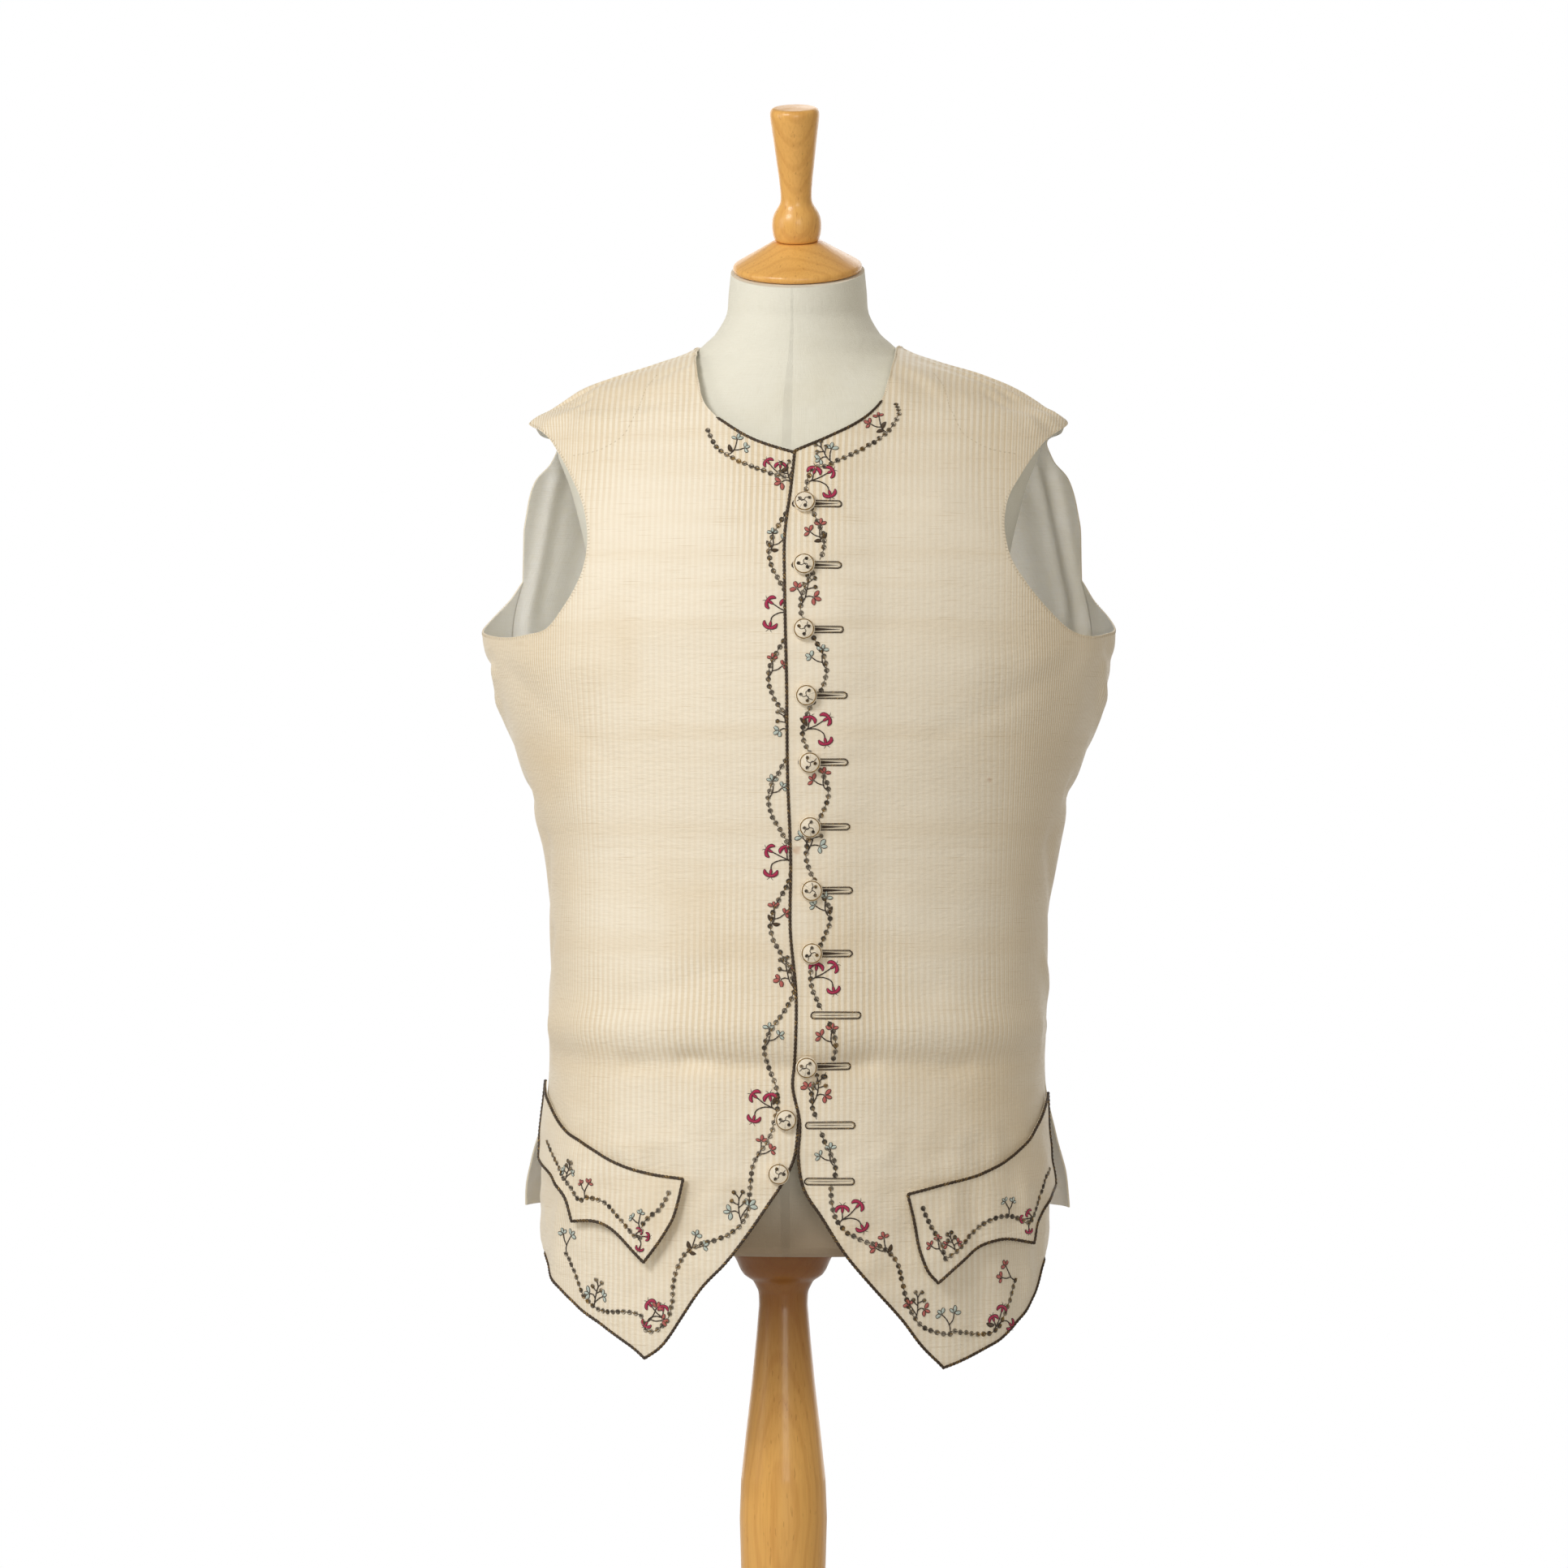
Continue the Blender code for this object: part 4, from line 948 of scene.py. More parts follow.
class Sprig:
    """Draws stems, flowers, berries and leaves from one root, in millimetres up and outward."""

    def __init__(self, work, root, out, up, scale=1.0):
        self.work, self.root, self.scale = work, np.array(root), scale * 0.001
        self.out, self.up = np.array(out), np.array(up)

    def at(self, points):
        points = np.asarray(points, float) * self.scale
        return self.root + points[..., :1] * self.out + points[..., 1:] * self.up

    def stem(self, *points):
        jitter = [(x + random.uniform(-0.4, 0.4), y + random.uniform(-0.4, 0.4)) for x, y in points[1:]]
        points = [points[0], *jitter]
        self.work.strand(resampled(self.at(points), 0.0008), STEM_RADIUS, "stem", twist=0.0011)
        (x0, y0), (x1, y1) = points[-2:]
        return points[-1], math.degrees(math.atan2(y1 - y0, x1 - x0)) - 90

    def shapes(self, place, degrees, *shapes):
        for spine, widths, silk_name in shapes:
            spine = turned_by(np.array(spine, float), degrees) + place
            widths = [width * self.scale for width in widths]
            self.work.petal(self.at(spine), widths, silk_name)

    def bell(self, place, degrees, size=1.0):
        """An open crimson bell: two arched side petals, a tongue toward the stem and dark stamens."""
        k = size * random.uniform(0.92, 1.08)
        droop = random.uniform(-0.3, 0.5)
        arch = [(-5.2 * k, 0.4 - droop), (-4.5 * k, 3.0 * k), (-1.8 * k, 4.9 * k), (1.8 * k, 4.9 * k),
                (4.5 * k, 3.0 * k), (5.2 * k, 0.4 + droop)]  # fmt: skip
        tongue = [(0.0, -0.2), (0.1 * k, 1.9 * k), (0.0, 4.4 * k)]
        self.shapes(place, degrees, (tongue, (0.5, 1.15 * k, 0.6), "crimson"),
                    (arch, (0.5, 1.45 * k, 1.35 * k, 1.05 * k, 1.35 * k, 1.45 * k, 0.5), "crimson"))
        for lean in (-1, 1):
            hair = [(0.4 * lean, 5.6 * k), (1.0 * lean * k, 7.0 * k), (2.6 * lean * k, 8.6 * k)]
            hair = self.at(turned_by(hair, degrees) + place)
            self.work.strand(resampled(hair, 0.0007), 0.00026, "stem", sides=5, taper=0.002)

    def trefoil(self, place, degrees, silk_name, size=1.0):
        """Three petals opening from the stem's end, outlined in dark silk."""
        pointed = random.random() < 0.4
        for spread in (-68, 0, 68):
            turn = degrees + spread + random.uniform(-10, 10)
            k = size * random.uniform(0.88, 1.10)
            widths = (0.35, 1.25 * k, 1.75 * k, 1.5 * k, 0.5 if pointed else 1.0)
            spine = [(0.0, 0.9), (0.2 * k, 3.2 * k), (0.0, (6.6 if pointed else 5.8) * k)]
            self.shapes(place, turn, (spine, widths, silk_name))

    def leaf(self, place, degrees, silk_name="leaf", size=1.0):
        bend = random.choice((-1, 1)) * 0.9
        spine = [(0.0, 0.0), (bend, 3.4 * size), (0.3 * bend, 8.6 * size)]
        self.shapes(place, degrees, (spine, (0.3, 1.5 * size, 2.05 * size, 1.5 * size, 0.25), silk_name))

    def berry(self, place):
        self.work.coil(self.at(place), random.uniform(0, 6.28))

    def flowers(self, kind, stems):
        for stem in stems:
            place, degrees = self.stem(*stem)
            if kind == "bells":
                self.bell(place, degrees)
            else:
                self.trefoil(place, degrees, kind)

    def draw(self, kind, leafy, count):
        if kind == "berries":
            self.flowers(random.choice(("aqua", "aqua", "rose")),
                         [((0.4, 4.0), (-3.5, 9.0), (-7.5, 12.5)), ((0.8, 8.0), (4.0, 10.5), (7.5, 10.5))])
            top, _ = self.stem((0.0, 0.0), (0.9, 7.0), (0.2, 15.0), (-0.8, 20.0))
            for twig in ((top, (-2.6, 23.0), (-4.0, 25.0)), (top, (0.8, 23.0), (2.6, 25.6)),
                         ((0.2, 15.0), (3.0, 16.8), (5.6, 18.6)), ((0.3, 13.0), (-2.4, 15.0), (-4.6, 17.4))):
                place, _ = self.stem(*twig)
                self.berry(place)
            return
        fan = [((0.0, 0.0), (2.6, 3.2), (1.8, 9.0)), ((2.4, 3.0), (7.6, 8.0), (12.0, 14.5)),
               ((2.4, 3.0), (10.0, 5.6), (17.0, 4.2), (19.0, 1.6))]
        tree = [((0.0, 0.0), (1.6, 6.5), (-0.4, 13.0), (-3.6, 19.0)), ((1.0, 7.5), (5.6, 11.0), (8.8, 16.5)),
                ((0.3, 1.0), (4.6, 4.6), (11.0, 6.2))]
        plan = fan if kind == "bells" else tree
        self.flowers(kind, plan[:count])
        if leafy:
            self.leaf((1.6, 5.6), 62)
            if random.random() < 0.4:
                self.leaf((1.4, 3.0), -70, size=0.85)


def offset_path(edge, turns, origin=None):
    """A line that waves at the given distances in from an edge, between its turns."""
    edge = resampled(edge, 0.001, smooth=False)
    along = lengths_along(edge)
    start, end = turns[0][0], turns[-1][0]
    s = along - (turns_origin(edge, along) if origin is None else origin)
    keys, offsets = np.array([turn[0] for turn in turns]), np.array([turn[1] for turn in turns])
    row = np.clip(np.searchsorted(keys, s) - 1, 0, len(keys) - 2)
    t = np.clip((s - keys[row]) / (keys[row + 1] - keys[row]), 0, 1)
    offset = offsets[row] + (offsets[row + 1] - offsets[row]) * (1 - np.cos(math.pi * t)) / 2
    path = edge + perpendicular(edge) * offset[:, None]
    keep = (s >= start) & (s <= end)
    tree = KDTree(len(edge))
    for i, (x, y) in enumerate(edge):
        tree.insert((x, y, 0.0), i)
    tree.balance()
    for i in np.flatnonzero(keep):
        if tree.find((*path[i], 0.0))[2] < 0.80 * offset[i]:
            keep[i] = False
    path, s = path[keep], s[keep]
    weights = np.exp(-0.5 * (np.arange(-9, 10) / 4.0) ** 2)
    weights /= weights.sum()
    padded = np.concatenate([np.repeat(path[:1], 9, axis=0), path, np.repeat(path[-1:], 9, axis=0)])
    smooth = np.stack([np.convolve(padded[:, i], weights, mode="valid") for i in range(2)], axis=1)
    return smooth, s


def turns_origin(edge, along):
    """The distance along the edge at which the neckline turns into the centre front."""
    top = np.searchsorted(along, 0.13)
    bend = [np.dot(edge[i] - edge[i - 8], edge[i + 8] - edge[i]) for i in range(8, top)]
    return along[8 + int(np.argmin(bend))]


# The embroidery's own layout: the line turns midway between buttonholes and keeps that step to the hem,
# with one sprig in the hollow of each turn, and the kinds come round in order.
FIRST_TURN, HALF_WAVE, TURNS = 0.0240, 0.0470, 18
NECK_INSET, NECK_START, NECK_SPRIGS = 0.0210, -0.0880, (-0.0620, -0.0220)
UNDERLAP_EXTRA, UNDERLAP_END, SKIRT_LESS, HEM_START = 0.0065, 0.53, 0.003, 0.66
KINDS = ("bells", "rose", "berries", "aqua")
FLAP_NEAR, FLAP_FAR, FLAP_TURNS, FLAP_START = 0.0095, 0.0190, 6, 0.0120


def kind_at(number, start):
    return KINDS[(number + start) % len(KINDS)]


def add_sprigs(work, path, s, edge, places):
    """Sprigs rooted on a line, each given by distance, side, kind, leaves, flowers and size."""
    for where, toward, kind, leafy, count, size in places:
        i = int(np.argmin(np.abs(s - where)))
        way = path[min(i + 6, len(path) - 1)] - path[max(i - 6, 0)]
        way /= np.linalg.norm(way)
        up = np.array([0.0, 1.25]) - way * (0.75 if where > 0 else -0.35)
        up /= np.linalg.norm(up)
        out = np.array([up[1], -up[0]])
        inward = path[i] - edge[int(np.argmin(np.linalg.norm(edge - path[i], axis=1)))]
        if np.dot(out, inward) * toward < 0:
            out = -out
        lean = math.radians(SPRIG_LEAN)
        up, out = up * math.cos(lean) + out * math.sin(lean), out * math.cos(lean) - up * math.sin(lean)
        Sprig(work, path[i], out, up, size).draw(kind, leafy, count)


def on_cloth(side, rows):
    """Cloth distance round and rise of points given by x and z."""
    flat = np.array(by_x(side, rows))
    return np.stack([FIGURE.girth(side, flat[:, 0] / FLAT_RADIUS, flat[:, 1]), flat[:, 1]], axis=1)


def stitched_edge(side, past_hem=False):
    """The corded edge from the neckline down the front and along the hem, on the cloth."""
    edge, hem, _ = edges_of(side)
    top = by_x(side, NECKLINE[4:] if side == WEARERS_LEFT else NECKLINE[5:])
    vent = by_degrees(FRONT_VENT)[:1] if past_hem else []
    path = np.concatenate([resampled(top + edge[:1], 0.002)[:-1], resampled(edge, 0.002)[:-1],
                           resampled(hem + vent, 0.002)])
    path = np.stack([FIGURE.girth(side, path[:, 0] / FLAT_RADIUS, path[:, 1]), path[:, 1]], axis=1)
    return path


def clear_of(points, holes):
    """Which points miss the buttonholes, each given by its two ends."""
    clear = np.ones(len(points), bool)
    for x0, y0, x1, y1 in holes:
        within = (points[:, 0] > x0 - 0.001) & (points[:, 0] < x1 + 0.001)
        clear &= ~(within & (np.abs(points[:, 1] - (y0 + y1) / 2) < HOLE_HEIGHT / 2 + 0.0014))
    return clear


def add_chain(work, path, holes=()):
    """Spangles sewn in a row along a couched thread, broken off at the buttonholes."""
    fine = resampled(path, 0.0009, smooth=False)
    clear = clear_of(fine, holes)
    for run in np.split(np.arange(len(fine)), np.flatnonzero(np.diff(clear.astype(int))) + 1):
        if clear[run[0]] and len(run) > 3:
            work.strand(fine[run], 0.00026, "stem", sides=5)
    spots = resampled(path, SPANGLE_PITCH, smooth=False)
    ways = np.gradient(spots, axis=0)
    for spot, way, free in zip(spots, ways, clear_of(spots, holes)):
        turn = math.atan2(way[1], way[0]) + random.uniform(-0.5, 0.5)
        shift = np.array([random.gauss(0, 0.00018), random.gauss(0, 0.00018)])
        if free:
            work.spangle(spot + shift, turn=turn)


def add_front_work(work, side):
    left = side == WEARERS_LEFT
    edge = stitched_edge(side, past_hem=True)
    turns = [(NECK_START, NECK_INSET * 0.6), (NECK_START + 0.018, NECK_INSET), (-0.004, NECK_INSET)]
    start = 0 if left else 2
    places = [(where, EDGE, kind_at(i, start + 1), True, 2, 0.75) for i, where in enumerate(NECK_SPRIGS)]
    for i in range(TURNS):
        turn = FIRST_TURN + HALF_WAVE * i
        shift = -SKIRT_LESS if turn > UNDERLAP_END else (0.0 if left else UNDERLAP_EXTRA)
        turns.append((turn, (CHAIN_NEAR, CHAIN_FAR)[i % 2] + shift))
        toward, size = (BODY, 0.80) if turn > HEM_START else ((BODY, 0.90), (EDGE, 0.74))[i % 2]
        places.append((turn, toward, kind_at(i, start), i % 3 == 1, 3 - i % 2, size))
    path, s = offset_path(edge, turns)
    holes = []
    if left:
        holes = [(*on_cloth(side, [(end - HOLE_LENGTH, height)])[0], *on_cloth(side, [(end, height)])[0])
                 for _, height, end, _ in HOLES]
    add_chain(work, path, holes)
    add_sprigs(work, path, s, edge, places)


def add_flap_work(work, side):
    """A line that waves inside the flap's front and scalloped edges, with a sprig at each turn."""
    _, front, scallops, rear = LEFT_FLAP if side == WEARERS_LEFT else RIGHT_FLAP
    edge = resampled(on_cloth(side, [*front, *scallops[1:], *rear[1:]]), 0.001, smooth=False)
    step = (lengths_along(edge)[-1] - 2 * FLAP_START) / (FLAP_TURNS - 1)
    distances = [FLAP_START + step * i for i in range(FLAP_TURNS)]
    turns = [(distance, (FLAP_NEAR, FLAP_FAR)[i % 2]) for i, distance in enumerate(distances)]
    path, s = offset_path(edge, turns, origin=0.0)
    add_chain(work, path)
    places = [(distance, BODY, kind_at(i, 0 if side == WEARERS_LEFT else 2), False, (3, 2)[i % 2], 0.58)
              for i, distance in enumerate(distances[1:-1], 1)]
    add_sprigs(work, path, s, edge, places)


def add_cord(work, path, closed=False):
    """The dark twisted cord sewn along an edge."""
    fine = resampled(path, 0.0007, smooth=False)
    inset = perpendicular(fine) * CORD_RADIUS * 0.55
    work.strand(fine + inset, CORD_RADIUS, "cord", lift=0.0002, sides=8, twist=0.0030,
                taper=0.0 if closed else 0.003)


def add_buttonholes(work, side):
    for number, height, end, fastened in HOLES:
        centre_line = on_cloth(side, [(end - HOLE_LENGTH, height), (end, height)])
        start, stop = centre_line[0] + (0.0026, 0.0), centre_line[1] - (0.0026, 0.0)
        turn = np.linspace(-math.pi / 2, math.pi / 2, 9)
        cap = np.stack([np.cos(turn), np.sin(turn)], axis=1) * HOLE_HEIGHT / 2
        loop = np.concatenate([stop + cap, start - cap, [stop + cap[0]]])
        wobble = np.random.RandomState(number).normal(0, 0.00012, loop.shape)
        wobble[-1] = wobble[0]
        loop = resampled(loop + wobble, 0.0007, smooth=False)
        work.strand(loop, 0.00052, "cord", sides=6, twist=0.0016)
        work.strand(resampled((loop - (start + stop) / 2) * (0.955, 0.70) + (start + stop) / 2, 0.0008,
                              smooth=False), 0.00042, "cream", sides=5)
        slit = 0.0010 if fastened else 0.0003
        work.petal([start, (start + stop) / 2, stop], (0.0001, slit, slit, slit * 0.5, 0.0001), "stem",
                   height=0.0002, outline=False)


def add_whip_stitches(work, path, pitch, length, silk_name="cream", inset=0.0004):
    spots = resampled(path, pitch, smooth=False)
    sideways = perpendicular(spots)
    for spot, across in zip(spots, sideways):
        lean = np.array([across[1], -across[0]]) * 0.0005
        start = spot + across * inset
        middle = start + across * length * 0.5 + lean * 0.5
        work.strand(np.array([start, middle, start + across * length + lean]),
                    0.00022, silk_name, sides=4)


def add_running_stitches(work, path, pitch=0.0042, length=0.0024, silk_name="cream"):
    path = resampled(path, 0.0004)
    along = lengths_along(path)
    for start in np.arange(0.0, along[-1] - length, pitch):
        piece = path[(along >= start) & (along <= start + length)]
        if len(piece) > 2:
            work.strand(piece[::2], 0.00022, silk_name, sides=4)


# Buttons, form and stand

BUTTONS = (  # number, x, z, fastened
    (1, 0.0118, 1.2716, True), (2, 0.0120, 1.2256, True), (3, 0.0123, 1.1784, True),
    (4, 0.0141, 1.1300, True), (5, 0.0165, 1.0810, True), (6, 0.0165, 1.0336, True),
    (7, 0.0177, 0.9868, True), (8, 0.0177, 0.9402, True), (10, 0.0141, 0.8572, True),
    (11, -0.0008, 0.8178, False), (12, -0.0062, 0.7784, False),
)
BUTTON_RADIUS, BUTTON_CLEARANCE = 0.0081, 0.0005
BUTTON_RING, BUTTON_SPOT = 0.0071, 0.0040  # radii of the gilt ring and of the three spangles
BUTTON_PROFILE = (  # radius, height: back, shank side, rim, padded face
    (0.0, 0.0), (0.0060, 0.0), (0.0076, 0.0006), (0.0081, 0.0016), (0.0081, 0.0027), (0.0078, 0.0034),
    (0.0070, 0.0038), (0.0060, 0.0042), (0.0040, 0.0048), (0.0020, 0.0052), (0.0, 0.0053),
)
FORM_RINGS = (
    (0.7130, 0.1600, 0.090, 0.090, 0.95, 0.90),
    (0.7160, 0.1650, 0.095, 0.095, 0.95, 0.90),
    (0.7400, 0.1740, 0.100, 0.101, 0.95, 0.90),
    (0.7900, 0.1810, 0.105, 0.104, 0.95, 0.92),
    (0.8400, 0.1815, 0.109, 0.100, 0.96, 0.95),
    (0.9000, 0.1710, 0.111, 0.089, 1.00, 1.00),
    (0.9600, 0.1620, 0.113, 0.084, 1.00, 1.00),
    (1.0500, 0.1580, 0.117, 0.094, 1.00, 1.00),
    (1.1500, 0.1560, 0.122, 0.106, 1.00, 1.00),
    (1.2300, 0.1600, 0.114, 0.109, 1.10, 0.98),
    (1.2900, 0.1740, 0.096, 0.105, 1.25, 0.96),
    (1.3250, 0.1850, 0.080, 0.100, 1.60, 0.96),
    (1.3400, 0.1830, 0.074, 0.096, 1.85, 0.96),
    (1.3520, 0.1720, 0.070, 0.092, 1.95, 0.96),
    (1.3660, 0.1500, 0.065, 0.086, 2.00, 0.96),
    (1.3790, 0.1130, 0.061, 0.078, 1.80, 0.96),
    (1.3900, 0.0850, 0.058, 0.070, 1.50, 0.97),
    (1.3970, 0.0755, 0.0570, 0.065, 1.25, 0.98),
    (1.4020, 0.0700, 0.0565, 0.061, 1.12, 1.00),
    (1.4070, 0.0640, 0.0560, 0.058, 1.05, 1.00),
    (1.4130, 0.0598, 0.0555, 0.056, 1.00, 1.00),
    (1.4230, 0.0545, 0.0550, 0.054, 1.00, 1.00),
    (1.4400, 0.0527, 0.0560, 0.053, 1.00, 1.00),
    (1.4560, 0.0510, 0.0560, 0.052, 1.00, 1.00),
)
NECK_LEAN = math.radians(18.5)
NECK_LEAN_FROM = 1.400
NECK_TOP = (0.0, -0.0020, 1.4560)
TOUCH_GAP = 0.0003
CAP_PROFILE = (
    (0.0, 0.0), (0.0465, 0.0), (0.0487, 0.0010), (0.0495, 0.0030), (0.0490, 0.0052), (0.0465, 0.0068),
    (0.0320, 0.0152), (0.0178, 0.0236), (0.0, 0.0236),
)
KNOB_PROFILE = (
    (0.0165, 0.0239), (0.0178, 0.0272), (0.0186, 0.0320), (0.0188, 0.0365), (0.0183, 0.0412),
    (0.0167, 0.0456), (0.0142, 0.0494), (0.0123, 0.0525), (0.0117, 0.0560), (0.0119, 0.0620),
    (0.0128, 0.0720), (0.0143, 0.0840), (0.0166, 0.1030), (0.0184, 0.1170), (0.0187, 0.1205),
    (0.0183, 0.1236), (0.0166, 0.1254), (0.0, 0.1259),
)
POLE_X = -0.0110
POLE_PROFILE = (
    (0.0, 0.0603), (0.0330, 0.0603), (0.0345, 0.0640), (0.0330, 0.0690), (0.0290, 0.0720),
    (0.0250, 0.0800), (0.0205, 0.1100), (0.0170, 0.1500), (0.0160, 0.1800), (0.0170, 0.1950),
    (0.0225, 0.1990), (0.0245, 0.2050), (0.0225, 0.2110), (0.0170, 0.2150), (0.0165, 0.2300),
    (0.0200, 0.2800), (0.0250, 0.3500), (0.0295, 0.4150), (0.0322, 0.4650), (0.0333, 0.5050),
    (0.0322, 0.5350), (0.0285, 0.5700), (0.0242, 0.6070), (0.0205, 0.6450), (0.0186, 0.6680),
    (0.0190, 0.6780), (0.0230, 0.6860), (0.0300, 0.6905), (0.0330, 0.6950), (0.0355, 0.7010),
    (0.0385, 0.7065), (0.0395, 0.7100), (0.0390, 0.7124), (0.0, 0.7127),
)
BASE_PROFILE = (
    (0.0, 0.0), (0.1870, 0.0), (0.1900, 0.0030), (0.1900, 0.0130), (0.1860, 0.0185), (0.1760, 0.0215),
    (0.0700, 0.0290), (0.0520, 0.0340), (0.0460, 0.0440), (0.0440, 0.0560), (0.0410, 0.0600), (0.0, 0.0600),
)


def lathe(name, profile, made, segments=96, step=0.0012, place=None):
    """A fine turned shape from a profile of radius and height, base to top."""
    fine = resampled(profile, step, smooth=False)
    weights = np.array([1.0, 2.0, 1.0]) / 4
    middle = np.stack([np.convolve(fine[:, i], weights, mode="valid") for i in range(2)], axis=1)
    fine = np.concatenate([fine[:1], middle, fine[-1:]])
    turn = 2 * math.pi * np.arange(segments) / segments
    points, faces, uv = [(0.0, 0.0, fine[0, 1])], [], [(0.0, 0.0)]
    for radius, z in fine[1:-1]:
        points += [(radius * math.cos(t), radius * math.sin(t), z) for t in turn]
        uv += [(t * radius, z) for t in turn]
    points.append((0.0, 0.0, fine[-1, 1]))
    uv.append((0.0, fine[-1, 1]))
    last = len(points) - 1
    rows = len(fine) - 2
    for j in range(segments):
        k = (j + 1) % segments
        faces.append([0, 1 + k, 1 + j])
        faces.append([1 + (rows - 1) * segments + j, 1 + (rows - 1) * segments + k, last])
        for i in range(rows - 1):
            a = 1 + i * segments
            faces.append([a + j, a + k, a + segments + k, a + segments + j])
    points = np.array(points)
    if place is not None:
        points = place(points)
    return add_mesh(name, points, faces, [made], uv=np.array(uv), smooth_angle=40)


def add_button(number, x, z, fastened, panel, cloth, silks):
    side = WEARERS_LEFT if fastened else WEARERS_RIGHT
    around, rise = by_x(side, [(side * x, z)])[0]
    spread = BUTTON_RADIUS * np.array([(i, j) for i in (0, -1, -0.5, 0.5, 1) for j in (0, -1, -0.5, 0.5, 1)])
    angle, rises = (around + spread[:, 0]) / FLAT_RADIUS, rise + spread[:, 1]
    normal = FIGURE.outward(side, angle, rises)[0]
    centre = FIGURE.on_ring(side, angle, rises)[0]
    cloth_under = panel.on_mesh(angle, rises, np.zeros(len(rises)))
    centre = centre + normal * (((cloth_under - centre) @ normal).max() + BUTTON_CLEARANCE)
    up = np.array([0.0, 0.0, 1.0]) - normal * normal[2]
    up /= np.linalg.norm(up)
    lean = random.uniform(0.0, 6.28)
    right = np.cross(up, normal)
    right, up = right * math.cos(lean) + up * math.sin(lean), up * math.cos(lean) - right * math.sin(lean)
    axes = np.stack([right, up, normal])

    def place(points):
        return centre + points @ axes

    name = f"button_{number:02d}"
    body = lathe(f"covered_{name}", BUTTON_PROFILE, cloth, 40, 0.0006, place)
    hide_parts(name)
    work = Needlework()
    ring = 2 * math.pi * np.arange(49) / 48
    rim = np.stack([np.cos(ring), np.sin(ring)], axis=1) * BUTTON_RING
    work.strand(rim, 0.00036, "gilt", lift=0.0001, sides=6, twist=0.0011)
    for i in range(3):
        turn = 2 * math.pi * (i + 0.25) / 3 + random.uniform(-0.2, 0.2)
        spot = np.array([math.cos(turn), math.sin(turn)]) * BUTTON_SPOT
        bend = np.array([-spot[1], spot[0]]) * 0.35
        work.strand(resampled([(0.0, -0.0004), spot * 0.5 + bend, spot], 0.0005), 0.00028, "stem", sides=5)
        work.spangle(spot, 0.0013, turn)
    tail = resampled([(0.0, -0.0004), (0.0010, -0.0030), (0.0032, -0.0050)], 0.0005)
    work.strand(tail, 0.00026, "stem", sides=5)

    def on_face(points):
        out = np.hypot(points[:, 0], points[:, 1])
        profile = np.array(BUTTON_PROFILE[4:][::-1])
        raised = points.copy()
        raised[:, 2] += np.interp(out, profile[:, 0], profile[:, 1])
        return place(raised)

    work.wrap(on_face)
    work.build(f"stitched_{name}", False, silks)


FORM_EDGE, FORM_STEP, FORM_SEGMENTS = 0.0120, 0.0045, 160  # close rings round the lower edge, then a step
HEM_RIDGE, HEM_GROOVE = 0.7205, 0.7235  # z of the cover's turned hem and of its line of tacks
FORM_MEAN_RADIUS, FORM_UV_RADIUS = 0.12, 0.16


def add_form(cover):
    """The padded form's cover, with the hem tacked over its lower edge."""
    columns = np.array(FORM_RINGS)
    keys = lengths_along(columns[:, [0, 1]])
    above_edge = np.arange(FORM_EDGE + FORM_STEP, keys[-1] - 0.003, FORM_STEP)
    fine = np.concatenate([np.linspace(0.0, FORM_EDGE, 12), above_edge, keys[-1:]])
    z = np.interp(fine, keys, columns[:, 0])
    side, front, back, front_lens, back_lens = (curve_through(keys, column)(fine) for column in columns.T[1:])
    segments = FORM_SEGMENTS
    turn = 2 * math.pi * np.arange(segments) / segments
    across, along = np.sin(turn), np.cos(turn)
    points = np.empty((len(fine), segments, 3))
    lens = np.where(along[None, :] > 0, front_lens[:, None], back_lens[:, None])
    depth = np.where(along[None, :] > 0, -front[:, None], back[:, None])
    ridge = 0.0006 * np.exp(-(((z - HEM_RIDGE) / 0.0012) ** 2))
    groove = 0.0007 * np.exp(-(((z - HEM_GROOVE) / 0.0010) ** 2))
    grow = 1 + (ridge - groove)[:, None] / FORM_MEAN_RADIUS
    points[..., 0] = side[:, None] * across * grow
    points[..., 1] = depth * np.abs(along[None, :]) ** lens * grow
    lean = math.tan(NECK_LEAN) * fade(z, NECK_LEAN_FROM, FORM_RINGS[-1][0])
    points[..., 2] = z[:, None] + lean[:, None] * (points[..., 1] - NECK_TOP[1])
    rows = points.reshape(-1, 3)
    faces = [[i * segments + j, i * segments + (j + 1) % segments, (i + 1) * segments + (j + 1) % segments,
              (i + 1) * segments + j] for i in range(len(fine) - 1) for j in range(segments)]
    faces += [list(range(segments))[::-1], [(len(fine) - 1) * segments + j for j in range(segments)]]
    around = np.broadcast_to(turn * FORM_UV_RADIUS, (len(fine), segments))
    uv = np.stack([around, points[..., 2]], axis=-1).reshape(-1, 2)
    form = add_mesh("form_cover", rows, faces, [cover], uv=uv)
    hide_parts("dress_form")
    return form


